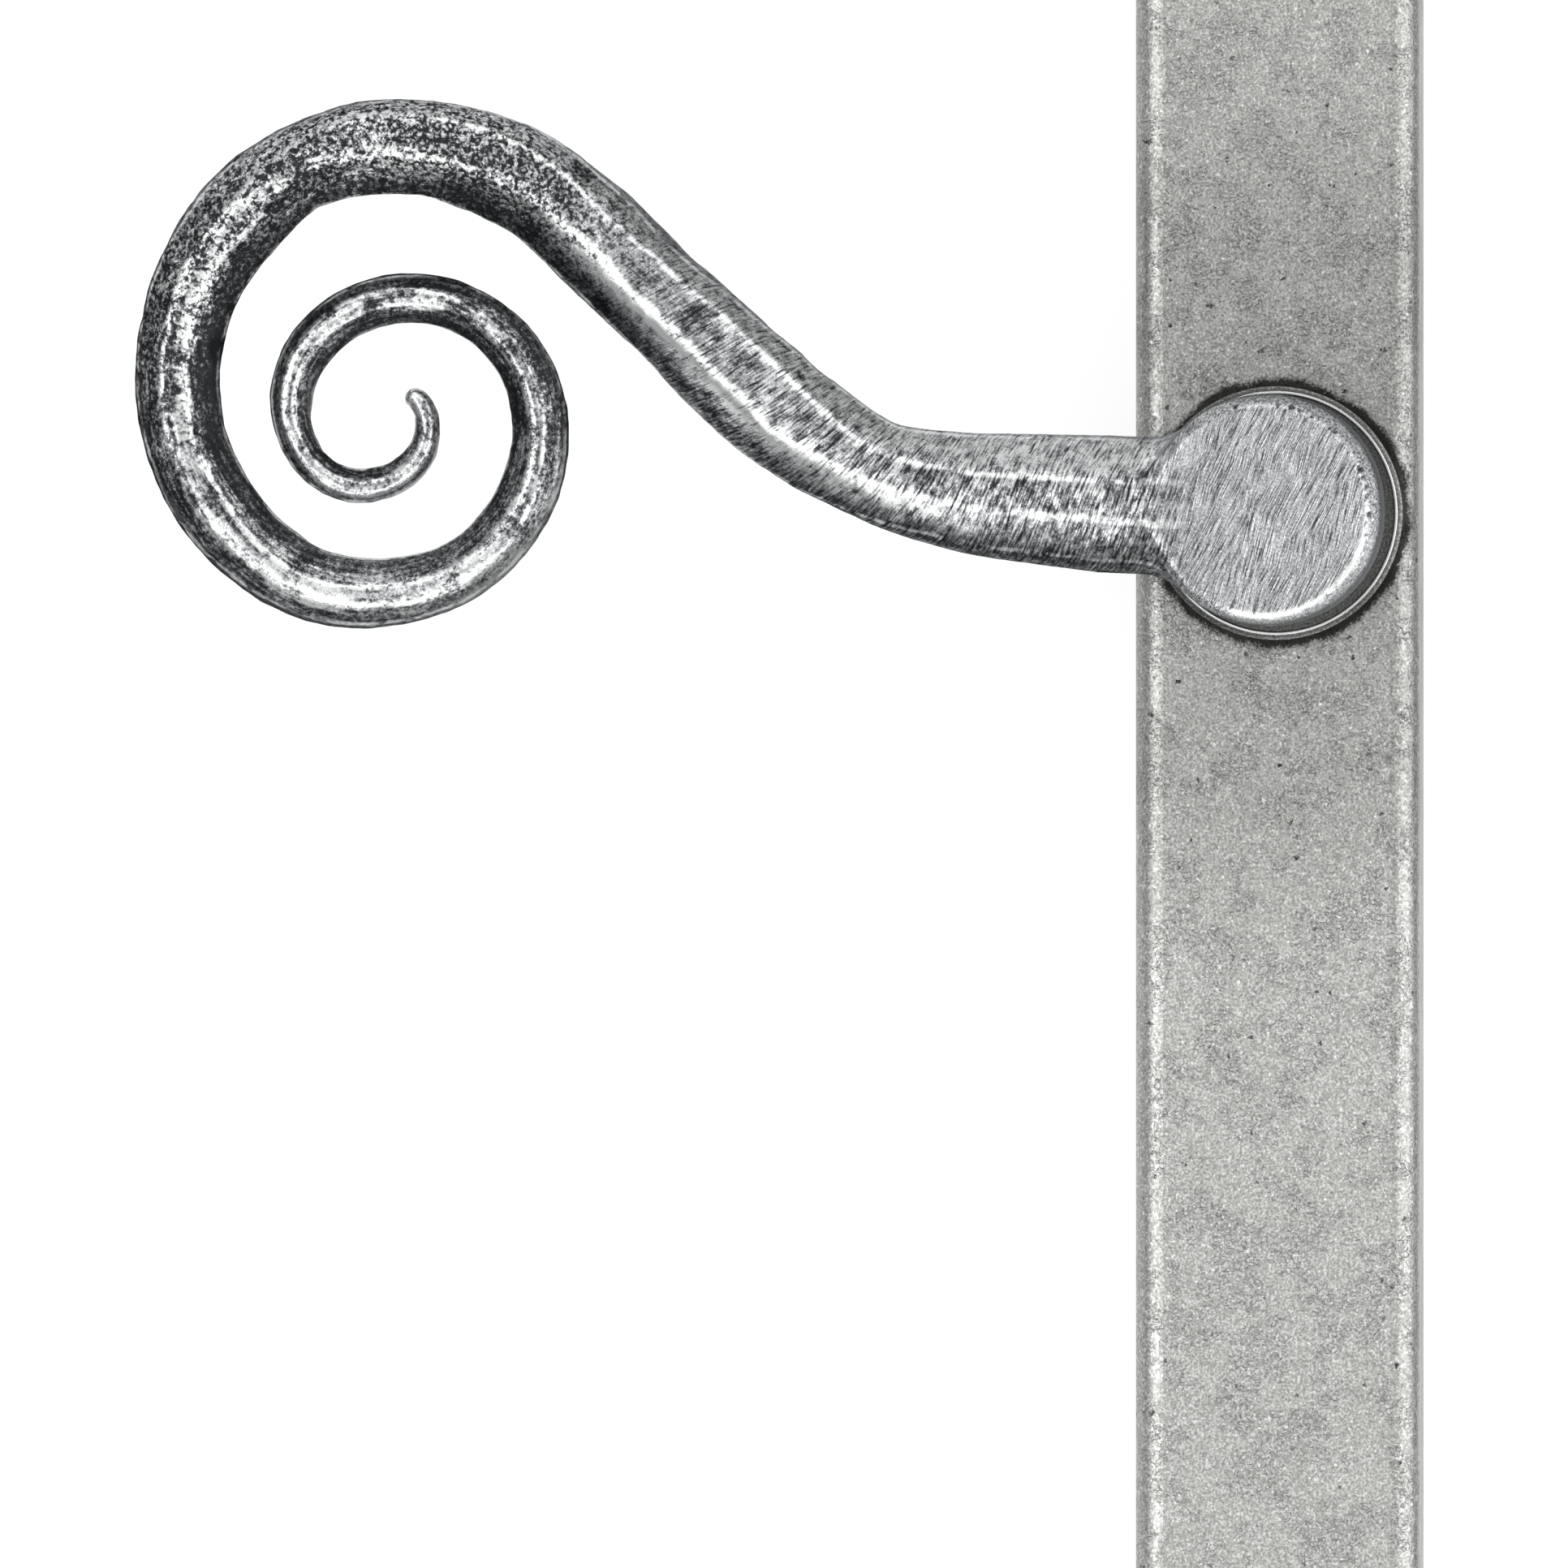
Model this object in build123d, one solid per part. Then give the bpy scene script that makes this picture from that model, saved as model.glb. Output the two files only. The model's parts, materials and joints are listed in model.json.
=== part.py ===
"""Espagnolette fastener for a casement window, with a forged monkey-tail lever.

A pressed steel cover, closed at the back by a flat plate, is screwed upright to the window's opening edge.
Turning the lever a quarter turn turns a pinion, which drives two racks in opposite ways. Each rack pulls a
flat rod, and each rod pushes a shoot bolt out of its end of the cover and into a keep on the window frame.

Units are millimetres. +Z is up along the cover, -Y is towards the room, and X runs across the cover. The
origin is where the spindle's axis meets the back face. The model stands with the lever level, pointing to
-X, and both bolts drawn back. A positive throw is a bolt moving out.
"""

from build123d import *
from math import acos, cos, pi, radians, sin, tan
import os

# ---- driving dimensions -------------------------------------------------------------------------------
SLIDE_FIT = 0.1  # usual gap between parts that drop into each other
SLIDE_GAP = 0.15  # gap round the rods and bolts in their guides

# the cover, a pressed channel, and the plate that closes its back
COVER_LENGTH = 440.0
COVER_WIDTH = 28.0
COVER_DEPTH = 14.0
COVER_WALL = 1.5
COVER_BEND = 2.8  # outer radius of the two long bends
BACK_PLATE = 1.5  # thickness
HALF = COVER_LENGTH / 2
INNER_HALF = COVER_WIDTH / 2 - COVER_WALL

# fixing screws, which a fitter puts through the cover, a sleeve and the back plate
FIXING_HEIGHTS = (120.0, 180.0)
FIXING_HOLE = 5.3  # diameter
FIXING_SINK = 8.3  # diameter of the countersink at the cover's face
SLEEVE_DIAMETER = 7.0

# the M3 screws that hold the case together
M3_SHANK = 1.5  # radius
M3_HEAD = 2.7  # radius
M3_SINK = 1.2  # depth of the countersunk head
SIDE_SCREW_LENGTH = 5.2
SIDE_SCREW_Y = -6.6
SIDE_SCREW_Z = HALF - 10.5
END_SCREW_LENGTH = 9.0
END_SCREW_X = 9.7
END_SCREW_Z = HALF - 4.0

# pinion and racks
MODULE = 1.0
PINION_TEETH = 14
PRESSURE_ANGLE = 20.0
GEAR_THICKNESS = 4.5
RACK_ADDENDUM = 0.8 * MODULE  # kept short, so a rack never reaches the pinion's undercut
RACK_DEDENDUM = 1.2 * MODULE
BACKLASH = 0.12
PITCH_RADIUS = MODULE * PINION_TEETH / 2
THROW = PITCH_RADIUS * pi / 2  # travel of each bolt in a quarter turn
RACK_BACK = 10.6  # distance of a rack's plain edge from the spindle's axis
RACK_LOW = -17.0
HUB_RADIUS = 5.0

# the layers between the back face and the cover, as Y
TRAY = 1.2  # thickness of the gear box's sheet
TRAY_FRONT = -(BACK_PLATE + TRAY)
GEAR_BACK = TRAY_FRONT - 0.2
GEAR_FRONT = GEAR_BACK - GEAR_THICKNESS
CHEEK_BACK = GEAR_FRONT - 0.2
CHEEK_FRONT = CHEEK_BACK - TRAY
COVER_INSIDE = -(COVER_DEPTH - COVER_WALL)

# the gear box
BOX_HALF_HEIGHT = 20.0
BOX_HALF_WIDTH = 12.2
PILLAR_HEIGHT = 14.5  # distance of each pillar from the spindle's axis
PILLAR_RADIUS = 2.5
PILLAR_END = 1.75  # radius of a pillar's riveted ends
PILLAR_DOME = 0.7

# rods, bolts and the rivets in them
ROD_WIDTH = 18.0
ROD_THICKNESS = 2.5
ROD_START = 22.0
ROD_END = 204.0
ROD_NECK_WIDTH = 13.0
ROD_NECK_START = 187.0
ROD_BACK = GEAR_FRONT + ROD_THICKNESS
ROD_GUIDES = (66.0, 150.0)
ROD_GUIDE_LENGTH = 8.0
END_GUIDE_LENGTH = 14.0
BOLT_WIDTH = 14.0
BOLT_FRONT = -10.4
BOLT_BACK = GEAR_BACK
BOLT_LAP_START = 188.0
BOLT_SHOULDER = 205.5
BOLT_TIP = HALF + 4.0
BOLT_BEVEL = 1.6
RACK_LAP_END = 38.0
RACK_LAP_INNER = 3.2
RACK_RIVETS = (26.5, 33.5)
RACK_RIVET_X = 6.2
BOLT_RIVETS = (193.0, 200.0)
RIVET_RADIUS = 1.5
RIVET_FIT = 0.02

# keeps
KEEP_GAP = 6.0  # between the cover's end and the keep
KEEP_HEIGHT = 14.0
KEEP_FOOT = 2.0  # thickness
KEEP_HALF_WIDTH = 22.0
KEEP_WALL = 2.2
KEEP_SCREW_X = 16.5
KEEP_HOLE = 4.3  # diameter

# collar, and what holds the lever in it
COLLAR_RADIUS = 12.5
COLLAR_FRONT = -16.7
COLLAR_RECESS = 0.4
COLLAR_BORE = 6.0
COLLAR_SPIGOT = 8.0  # radius
COLLAR_END = COVER_INSIDE + 1.9
SHANK_RADIUS = 5.95
SHANK_END = COVER_INSIDE + 3.4
CLIP_FRONT = COVER_INSIDE + 2.4
CLIP_BACK = COVER_INSIDE + 3.1
CLIP_GROOVE = 5.3  # radius of the shank in the clip's groove
CLIP_RADIUS = 7.3
NUT_RADIUS = 10.5
NUT_THICKNESS = 1.5

# lever
SPINDLE = 6.0  # across the flats
SPINDLE_FRONT = -27.0
GRUB_Y = -22.0
GRUB_RADIUS = 2.0
GRUB_LENGTH = 6.5
HEAD_RADIUS = 11.4
HEAD_X, HEAD_Z = -0.5, 0.3  # the forged head is not quite central on its shank
HEAD_BACK = -16.9
HEAD_FRONT = -29.9
HEAD_EDGE = 1.2  # size of the bevel round the head's face
NECK_Y = -23.4  # centreline of the bar where it leaves the head
CRANK = 4.0  # how far the bar then swings out towards the room
CRANK_START, CRANK_END = 12.0, 48.0
ROOT_X, ROOT_Z, ROOT_HEADING = -16.7, 1.0, 176.0

# The bar's centreline from its root to the tip of the curl: a straight length is (length, 0), and a bend is
# (radius, degrees), positive to the left of the way it runs.
BENDS = (
    (11.3, 0),
    (36.0, -39),
    (27.5, 0),
    (22.5, 192),
    (16.5, 118),
    (12.8, 141),
    (8.9, 96),
    (6.1, 132),
    (3.0, 52),
)
# The forged taper: (distance along the centreline, diameter).
TAPER = (
    (0, 13.5),
    (23, 10.8),
    (36, 11.7),
    (69, 10.6),
    (104, 9.3),
    (127, 8.5),
    (150, 7.0),
    (185, 5.8),
    (208, 4.8),
    (230, 3.3),
    (234, 2.4),
    (237, 1.8),
)
SECTION_STEP = 4.0  # spacing of the bar's sections


def block(x0, x1, y0, y1, z0, z1):
    """A box between two corners."""
    return Pos((x0 + x1) / 2, (y0 + y1) / 2, (z0 + z1) / 2) * Box(x1 - x0, y1 - y0, z1 - z0)


def rod_y(radius, y0, y1, x=0.0, z=0.0):
    """A cylinder along Y."""
    return Pos(x, (y0 + y1) / 2, z) * Rot(90, 0, 0) * Cylinder(radius, abs(y1 - y0))


def ring_y(outer, inner, y0, y1, x=0.0, z=0.0):
    return rod_y(outer, y0, y1, x, z) - rod_y(inner, y0 - 1, y1 + 1, x, z)


def cone_y(r0, r1, y0, y1, x=0.0, z=0.0):
    """A cone along Y, of radius r0 at y0 and r1 at y1, where y0 is the lower."""
    return Pos(x, (y0 + y1) / 2, z) * Rot(-90, 0, 0) * Cone(r0, r1, y1 - y0)


def turned(shape):
    """The same thing for the lower half: half a turn about the spindle's axis."""
    return Rot(0, 180, 0) * shape


def both(shape):
    return [shape, turned(shape)]


def prism(points, y0, y1):
    """A flat plate with a straight-sided outline in the X-Z plane, between two values of Y."""
    wire = Polyline([(x, y0, z) for x, z in points], close=True)
    return extrude(make_face(wire), amount=y1 - y0, dir=(0, 1, 0))


def slot_z(radius, z0, z1, y0, y1):
    """A cutter for a slot along Z, with round ends centred on z0 and z1."""
    ends = rod_y(radius, y0, y1, 0, z0) + rod_y(radius, y0, y1, 0, z1)
    return ends + block(-radius, radius, y0, y1, z0, z1)


# ---- the fixed case -----------------------------------------------------------------------------------


def cover():
    """The pressed channel, with the collar's hole and four countersunk fixing holes."""
    w = COVER_WIDTH / 2
    outer = block(-w, w, -COVER_DEPTH, 0, -HALF, HALF)
    outer = fillet(outer.edges().filter_by(Axis.Z).sort_by(Axis.Y)[:2], COVER_BEND)
    hollow = block(-INNER_HALF, INNER_HALF, COVER_INSIDE, 1, -HALF - 1, HALF + 1)
    hollow = fillet(hollow.edges().filter_by(Axis.Z).sort_by(Axis.Y)[:2], COVER_BEND - COVER_WALL)
    channel = outer - hollow - rod_y(COLLAR_SPIGOT + 0.05, -COVER_DEPTH - 1, COVER_INSIDE + 1)
    for h in FIXING_HEIGHTS:
        for z in (-h, h):
            channel -= rod_y(FIXING_HOLE / 2, -COVER_DEPTH - 1, COVER_INSIDE + 1, 0, z)
            channel -= cone_y(FIXING_SINK / 2, FIXING_HOLE / 2, -COVER_DEPTH, COVER_INSIDE, 0, z)
    for side in (-1, 1):
        for z in (-SIDE_SCREW_Z, SIDE_SCREW_Z):
            channel -= side_screw_hole(side, z)
    return channel


def side_screw_hole(side, z):
    """The countersunk hole in the cover's flank for one M3 screw."""
    face = COVER_WIDTH / 2
    across = Pos(side * face, SIDE_SCREW_Y, z) * Rot(0, 90, 0)
    through = across * Cylinder(M3_SHANK + SLIDE_FIT, 2 * COVER_WALL + 1)
    sink = Pos(side * (face - M3_SINK / 2), SIDE_SCREW_Y, z) * Rot(0, side * 90, 0)
    return through + sink * Cone(M3_SHANK, M3_HEAD, M3_SINK)


def m3_screw(length):
    """A countersunk M3 screw with a cross recess, along Z from its flat head at 0 to its point at -length."""
    shank, head = M3_SHANK - 0.05, M3_HEAD - SLIDE_FIT
    body = Pos(0, 0, -length / 2) * Cylinder(shank, length)
    body += Pos(0, 0, -M3_SINK / 2) * Cone(shank, head, M3_SINK)
    body = chamfer(body.faces().sort_by(Axis.Z)[0].edges(), shank * 0.3)
    long_side, short_side, depth = head * 1.3, head * 0.28, M3_SINK * 1.2
    return body - Box(long_side, short_side, depth) - Box(short_side, long_side, depth)


def side_screws():
    """Four M3 screws, two in each flank, that hold the cover to its end guides."""
    found = []
    for side in (-1, 1):
        for z in (-SIDE_SCREW_Z, SIDE_SCREW_Z):
            place = Pos(side * COVER_WIDTH / 2, SIDE_SCREW_Y, z) * Rot(0, side * 90, 0)
            found.append(place * m3_screw(SIDE_SCREW_LENGTH))
    return found


def back_plate():
    """The flat plate that closes the cover's back and lies on the window."""
    half = INNER_HALF - SLIDE_FIT
    plate = block(-half, half, -BACK_PLATE, 0, -HALF, HALF)
    for h in FIXING_HEIGHTS:
        for z in (-h, h):
            plate -= rod_y(FIXING_HOLE / 2, -BACK_PLATE - 1, 1, 0, z)
    for z in (-PILLAR_HEIGHT, PILLAR_HEIGHT):
        plate -= rod_y(PILLAR_END + 0.05, -BACK_PLATE - 1, 1, 0, z)
    for x in (-END_SCREW_X, END_SCREW_X):
        for z in (-END_SCREW_Z, END_SCREW_Z):
            plate -= rod_y(M3_SHANK + SLIDE_FIT, -BACK_PLATE - 1, 1, x, z)
            plate -= cone_y(M3_SHANK, M3_HEAD, -M3_SINK, 0, x, z)
    return plate


def end_screws():
    """Four M3 screws that hold the back plate to the end guides."""
    found = []
    for x in (-END_SCREW_X, END_SCREW_X):
        for z in (-END_SCREW_Z, END_SCREW_Z):
            found.append(Pos(x, 0, z) * Rot(-90, 0, 0) * m3_screw(END_SCREW_LENGTH))
    return found


def guide_block(z0, z1, aperture_width, aperture_front, aperture_back):
    """A block that fills the cover's section, with an aperture and softened front corners."""
    half = INNER_HALF - 3 * SLIDE_FIT
    body = block(-half, half, COVER_INSIDE + 2 * SLIDE_FIT, -BACK_PLATE - SLIDE_FIT, z0, z1)
    body = chamfer(body.edges().filter_by(Axis.Z).sort_by(Axis.Y)[:2], COVER_BEND - COVER_WALL)
    half_gap = aperture_width / 2
    return body - block(-half_gap, half_gap, aperture_front, aperture_back, z0 - 1, z1 + 1)


def end_guide():
    """The die-cast block in the upper end of the cover, which the bolt slides through."""
    width, front, back = BOLT_WIDTH + 2 * SLIDE_GAP, BOLT_FRONT - SLIDE_GAP, BOLT_BACK + SLIDE_GAP
    body = guide_block(HALF - END_GUIDE_LENGTH, HALF, width, front, back)
    for x in (-END_SCREW_X, END_SCREW_X):
        body -= rod_y(M3_SHANK, -END_SCREW_LENGTH - 0.3, 0, x, END_SCREW_Z)
    screw_middle = COVER_WIDTH / 2 - SIDE_SCREW_LENGTH / 2
    for side in (-1, 1):
        hole = Pos(side * screw_middle, SIDE_SCREW_Y, SIDE_SCREW_Z) * Rot(0, 90, 0)
        body -= hole * Cylinder(M3_SHANK, SIDE_SCREW_LENGTH + 0.4)
    return body


def rod_guides():
    """Four nylon saddles, open to the back, that stop the rods rattling."""
    found = []
    for z in ROD_GUIDES:
        half = ROD_GUIDE_LENGTH / 2
        found += both(guide_block(z - half, z + half, ROD_WIDTH + 2 * SLIDE_GAP, GEAR_FRONT - SLIDE_GAP, 0))
    return found


def sleeves():
    """Four brass sleeves round the fixing screws. Each rod's slots run on them and stop against them."""
    found = []
    for h in FIXING_HEIGHTS:
        found += both(ring_y(SLEEVE_DIAMETER / 2, FIXING_HOLE / 2, COVER_INSIDE, -BACK_PLATE, 0, h))
    return found


def gear_tray():
    """The gear box's folded tray: a floor on the back plate and two walls that the racks run along."""
    w, h = BOX_HALF_WIDTH, BOX_HALF_HEIGHT
    inner = RACK_BACK + 2 * SLIDE_FIT
    tray = block(-w, w, TRAY_FRONT, -BACK_PLATE, -h, h)
    tray += block(-w, -inner, CHEEK_BACK, TRAY_FRONT, -h, h)
    tray += block(inner, w, CHEEK_BACK, TRAY_FRONT, -h, h)
    tray -= rod_y(HUB_RADIUS + 0.05, TRAY_FRONT - 1, -BACK_PLATE + 1)
    for z in (-PILLAR_HEIGHT, PILLAR_HEIGHT):
        tray -= rod_y(PILLAR_END + 0.05, TRAY_FRONT - 1, 0, 0, z)
    return tray


def gear_cheek():
    """The plate that closes the gear box at the front."""
    w, h = BOX_HALF_WIDTH, BOX_HALF_HEIGHT
    plate = block(-w, w, CHEEK_FRONT, CHEEK_BACK, -h, h)
    plate = chamfer(plate.edges().filter_by(Axis.Y), 1.5)
    plate -= rod_y(HUB_RADIUS + 0.05, CHEEK_FRONT - 1, CHEEK_BACK + 1)
    for z in (-PILLAR_HEIGHT, PILLAR_HEIGHT):
        plate -= rod_y(PILLAR_END + 0.05, CHEEK_FRONT - 1, CHEEK_BACK + 1, 0, z)
    return plate


def pillars():
    """Two shouldered rivets that hold the gear box together and to the back plate."""
    found = []
    for z in (-PILLAR_HEIGHT, PILLAR_HEIGHT):
        pillar = rod_y(PILLAR_RADIUS, CHEEK_BACK, TRAY_FRONT, 0, z)
        pillar += rod_y(PILLAR_END, CHEEK_FRONT - PILLAR_DOME, 0, 0, z)
        pillar += cone_y(PILLAR_END, PILLAR_RADIUS, CHEEK_FRONT - PILLAR_DOME, CHEEK_FRONT, 0, z)
        found.append(pillar)
    return found


def collar():
    """The turned collar under the lever's head: a flange with a raised rim, and a spigot behind it."""
    floor = COLLAR_FRONT + COLLAR_RECESS
    profile = [
        (COLLAR_BORE, floor),
        (COLLAR_RADIUS - 0.85, floor),
        (COLLAR_RADIUS - 0.7, COLLAR_FRONT),
        (COLLAR_RADIUS - 0.55, COLLAR_FRONT),
        (COLLAR_RADIUS, COLLAR_FRONT + 0.45),
        (COLLAR_RADIUS, -COVER_DEPTH - 0.4),
        (COLLAR_RADIUS - 0.4, -COVER_DEPTH),
        (COLLAR_SPIGOT, -COVER_DEPTH),
        (COLLAR_SPIGOT, COLLAR_END),
        (COLLAR_BORE, COLLAR_END),
    ]
    section = make_face(Polyline([(r, y, 0) for r, y in profile], close=True))
    return revolve(section, axis=Axis.Y)


def collar_nut():
    """The thin nut behind the cover that clamps the collar, with two spanner notches."""
    back = COVER_INSIDE + NUT_THICKNESS
    nut = ring_y(NUT_RADIUS, COLLAR_SPIGOT + 0.05, COVER_INSIDE, back)
    for z in (-NUT_RADIUS, NUT_RADIUS):
        nut -= block(-1, 1, COVER_INSIDE - 1, back + 1, z - 1, z + 1)
    return nut


def keep():
    """The upper keep: a foot with two screw holes, and a staple that takes the bolt."""
    low, high = HALF + KEEP_GAP, HALF + KEEP_GAP + KEEP_HEIGHT
    foot = block(-KEEP_HALF_WIDTH, KEEP_HALF_WIDTH, -KEEP_FOOT, 0, low, high)
    foot = fillet(foot.edges().filter_by(Axis.Y), 3)
    inside_front, inside_back, inside_half = BOLT_FRONT - 0.4, BOLT_BACK + 0.4, BOLT_WIDTH / 2 + 0.5
    outside_half = inside_half + KEEP_WALL + 0.5
    staple = block(-outside_half, outside_half, inside_front - KEEP_WALL, -KEEP_FOOT, low + 1, high - 1)
    staple = fillet(staple.edges().filter_by(Axis.Z).sort_by(Axis.Y)[:2], KEEP_WALL)
    body = foot + staple - block(-inside_half, inside_half, inside_front, inside_back, low - 1, high + 1)
    for x in (-KEEP_SCREW_X, KEEP_SCREW_X):
        z = (low + high) / 2
        body -= rod_y(KEEP_HOLE / 2, -KEEP_FOOT - 1, 1, x, z)
        body -= cone_y(KEEP_HOLE / 2 + 1.5, KEEP_HOLE / 2, -KEEP_FOOT, -0.5, x, z)
    return body


# ---- what turns with the lever --------------------------------------------------------------------------


def bar_stations():
    """Points down the bar's centreline, as (distance, x, z, heading in degrees)."""
    x, z, heading, travelled = ROOT_X, ROOT_Z, ROOT_HEADING, 0.0
    stations = [(0.0, x, z, heading)]
    for size, turn in BENDS:
        length = size if turn == 0 else size * radians(abs(turn))
        steps = max(1, round(length / SECTION_STEP))
        for _ in range(steps):
            move, bend = length / steps, turn / steps
            middle = radians(heading + bend / 2)
            chord = move if bend == 0 else move * sin(radians(abs(bend) / 2)) / radians(abs(bend) / 2)
            x += chord * cos(middle)
            z += chord * sin(middle)
            heading += bend
            travelled += move
            stations.append((travelled, x, z, heading))
    return stations


def bar_diameter(distance):
    """The taper's diameter at a distance down the bar."""
    for (s0, d0), (s1, d1) in zip(TAPER, TAPER[1:]):
        if distance <= s1:
            return d0 + (d1 - d0) * (distance - s0) / (s1 - s0)
    return TAPER[-1][1]


def bar_y(distance):
    """The centreline's Y: level near the head, then eased out towards the room."""
    t = min(max((distance - CRANK_START) / (CRANK_END - CRANK_START), 0), 1)
    return NECK_Y - CRANK * t * t * (3 - 2 * t)


def bar():
    """The tapered, scrolled bar, lofted through round sections, with a rounded tip."""
    inside_head = Plane(origin=(HEAD_X - 4, NECK_Y, HEAD_Z), x_dir=(0, 1, 0), z_dir=(-1, 0, 0.04))
    sections = [inside_head * Circle(TAPER[0][1] / 2)]
    stations = bar_stations()
    for distance, x, z, heading in stations:
        slope = bar_y(distance + 0.5) - bar_y(distance - 0.5)
        h = radians(heading)
        along = Vector(cos(h), slope, sin(h))
        plane = Plane(origin=(x, bar_y(distance), z), x_dir=(-sin(h), 0, cos(h)), z_dir=along)
        sections.append(plane * Circle(bar_diameter(distance) / 2))
    distance, x, z, _ = stations[-1]
    tip = Pos(x, bar_y(distance), z) * Sphere(bar_diameter(distance) / 2)
    return loft([section.face() for section in sections]) + tip


def lever():
    """The forged lever: head, shank with its square socket and clip groove, and scrolled bar."""
    head = rod_y(HEAD_RADIUS, HEAD_FRONT, HEAD_BACK, HEAD_X, HEAD_Z)
    head = chamfer(head.faces().sort_by(Axis.Y)[0].edges(), HEAD_EDGE)
    behind_head = block(-40, 20, HEAD_BACK, 0, -30, 30)
    before_head = block(-24, 20, HEAD_FRONT - 9, HEAD_FRONT, -30, 30)
    body = head + (bar() - behind_head - before_head)
    body += rod_y(SHANK_RADIUS, HEAD_BACK, SHANK_END)
    body -= ring_y(SHANK_RADIUS + 1, CLIP_GROOVE, CLIP_FRONT - 0.05, CLIP_BACK + 0.05)
    half = SPINDLE / 2 + 0.05
    body -= block(-half, half, SPINDLE_FRONT - SLIDE_FIT, 0, -half, half)
    return body - Pos(0, GRUB_Y, -HEAD_RADIUS) * Cylinder(GRUB_RADIUS, 2 * (HEAD_RADIUS - SPINDLE / 2))


def grub_screw():
    """The M4 grub screw, in the underside of the lever's head, that holds it on the spindle."""
    top = -SPINDLE / 2
    screw = Pos(0, GRUB_Y, top - GRUB_LENGTH / 2) * Cylinder(GRUB_RADIUS - 0.05, GRUB_LENGTH)
    screw = chamfer(screw.faces().sort_by(Axis.Z)[-1].edges(), 0.5)
    key = extrude(Pos(0, GRUB_Y, top - GRUB_LENGTH) * RegularPolygon(1.15, 6), amount=2.5)
    return screw - key


def spindle():
    """The square bar that carries the turn from the lever to the pinion."""
    half = SPINDLE / 2
    square = block(-half, half, SPINDLE_FRONT, -BACK_PLATE - 2 * SLIDE_FIT, -half, half)
    return chamfer(square.faces().sort_by(Axis.Y)[-1].edges(), 0.5)


def involute_flank(start, end, count=6):
    """Points (radius, angle) on the pinion's involute, from radius start to radius end."""
    base = PITCH_RADIUS * cos(radians(PRESSURE_ANGLE))
    points = []
    for i in range(count):
        r = start + (end - start) * i / (count - 1)
        pressure = acos(min(1.0, base / r))
        points.append((r, tan(pressure) - pressure))
    return points


def pinion():
    """The pinion, with a hub each side that runs in the gear box and a square hole for the spindle."""
    root, tip = PITCH_RADIUS - 1.25 * MODULE, PITCH_RADIUS + MODULE
    base = PITCH_RADIUS * cos(radians(PRESSURE_ANGLE))
    pitch_roll = tan(radians(PRESSURE_ANGLE)) - radians(PRESSURE_ANGLE)
    half_tooth = pi / (2 * PINION_TEETH) - BACKLASH / (4 * PITCH_RADIUS)
    flank = [(root, 0.0)] + involute_flank(base, tip)
    side = [(r, half_tooth + pitch_roll - roll) for r, roll in flank]
    tooth_outline = [(r, -a) for r, a in side] + side[::-1]
    outline = []
    for tooth in range(PINION_TEETH):
        middle = 2 * pi * tooth / PINION_TEETH
        outline += [(r * cos(middle + a), r * sin(middle + a)) for r, a in tooth_outline]
    gear = prism(outline, GEAR_FRONT, GEAR_BACK)
    gear += rod_y(HUB_RADIUS, CHEEK_FRONT + SLIDE_FIT, GEAR_FRONT)
    gear += rod_y(HUB_RADIUS, GEAR_BACK, -BACK_PLATE - SLIDE_FIT)
    half = SPINDLE / 2 + 0.05
    return gear - block(-half, half, CHEEK_FRONT - 1, 0, -half, half)


def circlip():
    """The open retaining ring in the shank's groove, behind the collar."""
    ring = ring_y(CLIP_RADIUS, CLIP_GROOVE + 0.05, CLIP_FRONT, CLIP_BACK)
    ring -= block(-1.5, 1.5, CLIP_FRONT - 1, CLIP_BACK + 1, -CLIP_RADIUS - 1, 0)
    for x in (-2.6, 2.6):
        ring -= rod_y(0.55, CLIP_FRONT - 1, CLIP_BACK + 1, x, -5.8)
    return ring


def friction_washer():
    """The spring washer between the collar and the circlip, whose drag holds the lever where it is put."""
    return ring_y(COLLAR_SPIGOT - 0.3, SHANK_RADIUS + 0.15, COLLAR_END + 0.05, CLIP_FRONT - 0.05)


def bearing_washer():
    """The nylon washer that the lever's head turns on, in the collar's recess."""
    return ring_y(10.6, SHANK_RADIUS + 0.15, HEAD_BACK + 0.05, COLLAR_FRONT + COLLAR_RECESS)


# ---- what slides with the upper bolt; the lower set is the same, half a turn round -------------------


def rack():
    """The upper rack: teeth towards the pinion, then a thin tongue behind the rod."""
    pitch, slope = pi * MODULE, tan(radians(PRESSURE_ANGLE))
    tips, roots = PITCH_RADIUS - RACK_ADDENDUM, PITCH_RADIUS + RACK_DEDENDUM
    wide = pitch / 4 + RACK_DEDENDUM * slope - BACKLASH / 4
    narrow = pitch / 4 - RACK_ADDENDUM * slope - BACKLASH / 4
    high = ROD_START - 0.5
    outline = [(RACK_BACK, RACK_LOW), (roots, RACK_LOW)]
    for tooth in range(-5, 2):
        z = (tooth + 0.5) * pitch
        outline += [(roots, z - wide), (tips, z - narrow), (tips, z + narrow), (roots, z + wide)]
    outline += [(roots, high), (RACK_BACK, high)]
    body = prism(outline, GEAR_FRONT, GEAR_BACK)
    body += block(RACK_LAP_INNER, RACK_BACK, ROD_BACK, GEAR_BACK, high, RACK_LAP_END)
    for z in RACK_RIVETS:
        body -= rivet_hole(RACK_RIVET_X, z)
    return body


def rivet_hole(x, z):
    return rod_y(RIVET_RADIUS + RIVET_FIT, BOLT_FRONT - 1, 0, x, z)


def rivet(x, z, front, back, head):
    """A rivet along Y, flush at the back, with a low tapered head in front if head is over 0."""
    body = rod_y(RIVET_RADIUS, front, back, x, z)
    if head:
        body += cone_y(RIVET_RADIUS * 0.9, RIVET_RADIUS * 1.7, front - head, front, x, z)
    return body


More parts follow.
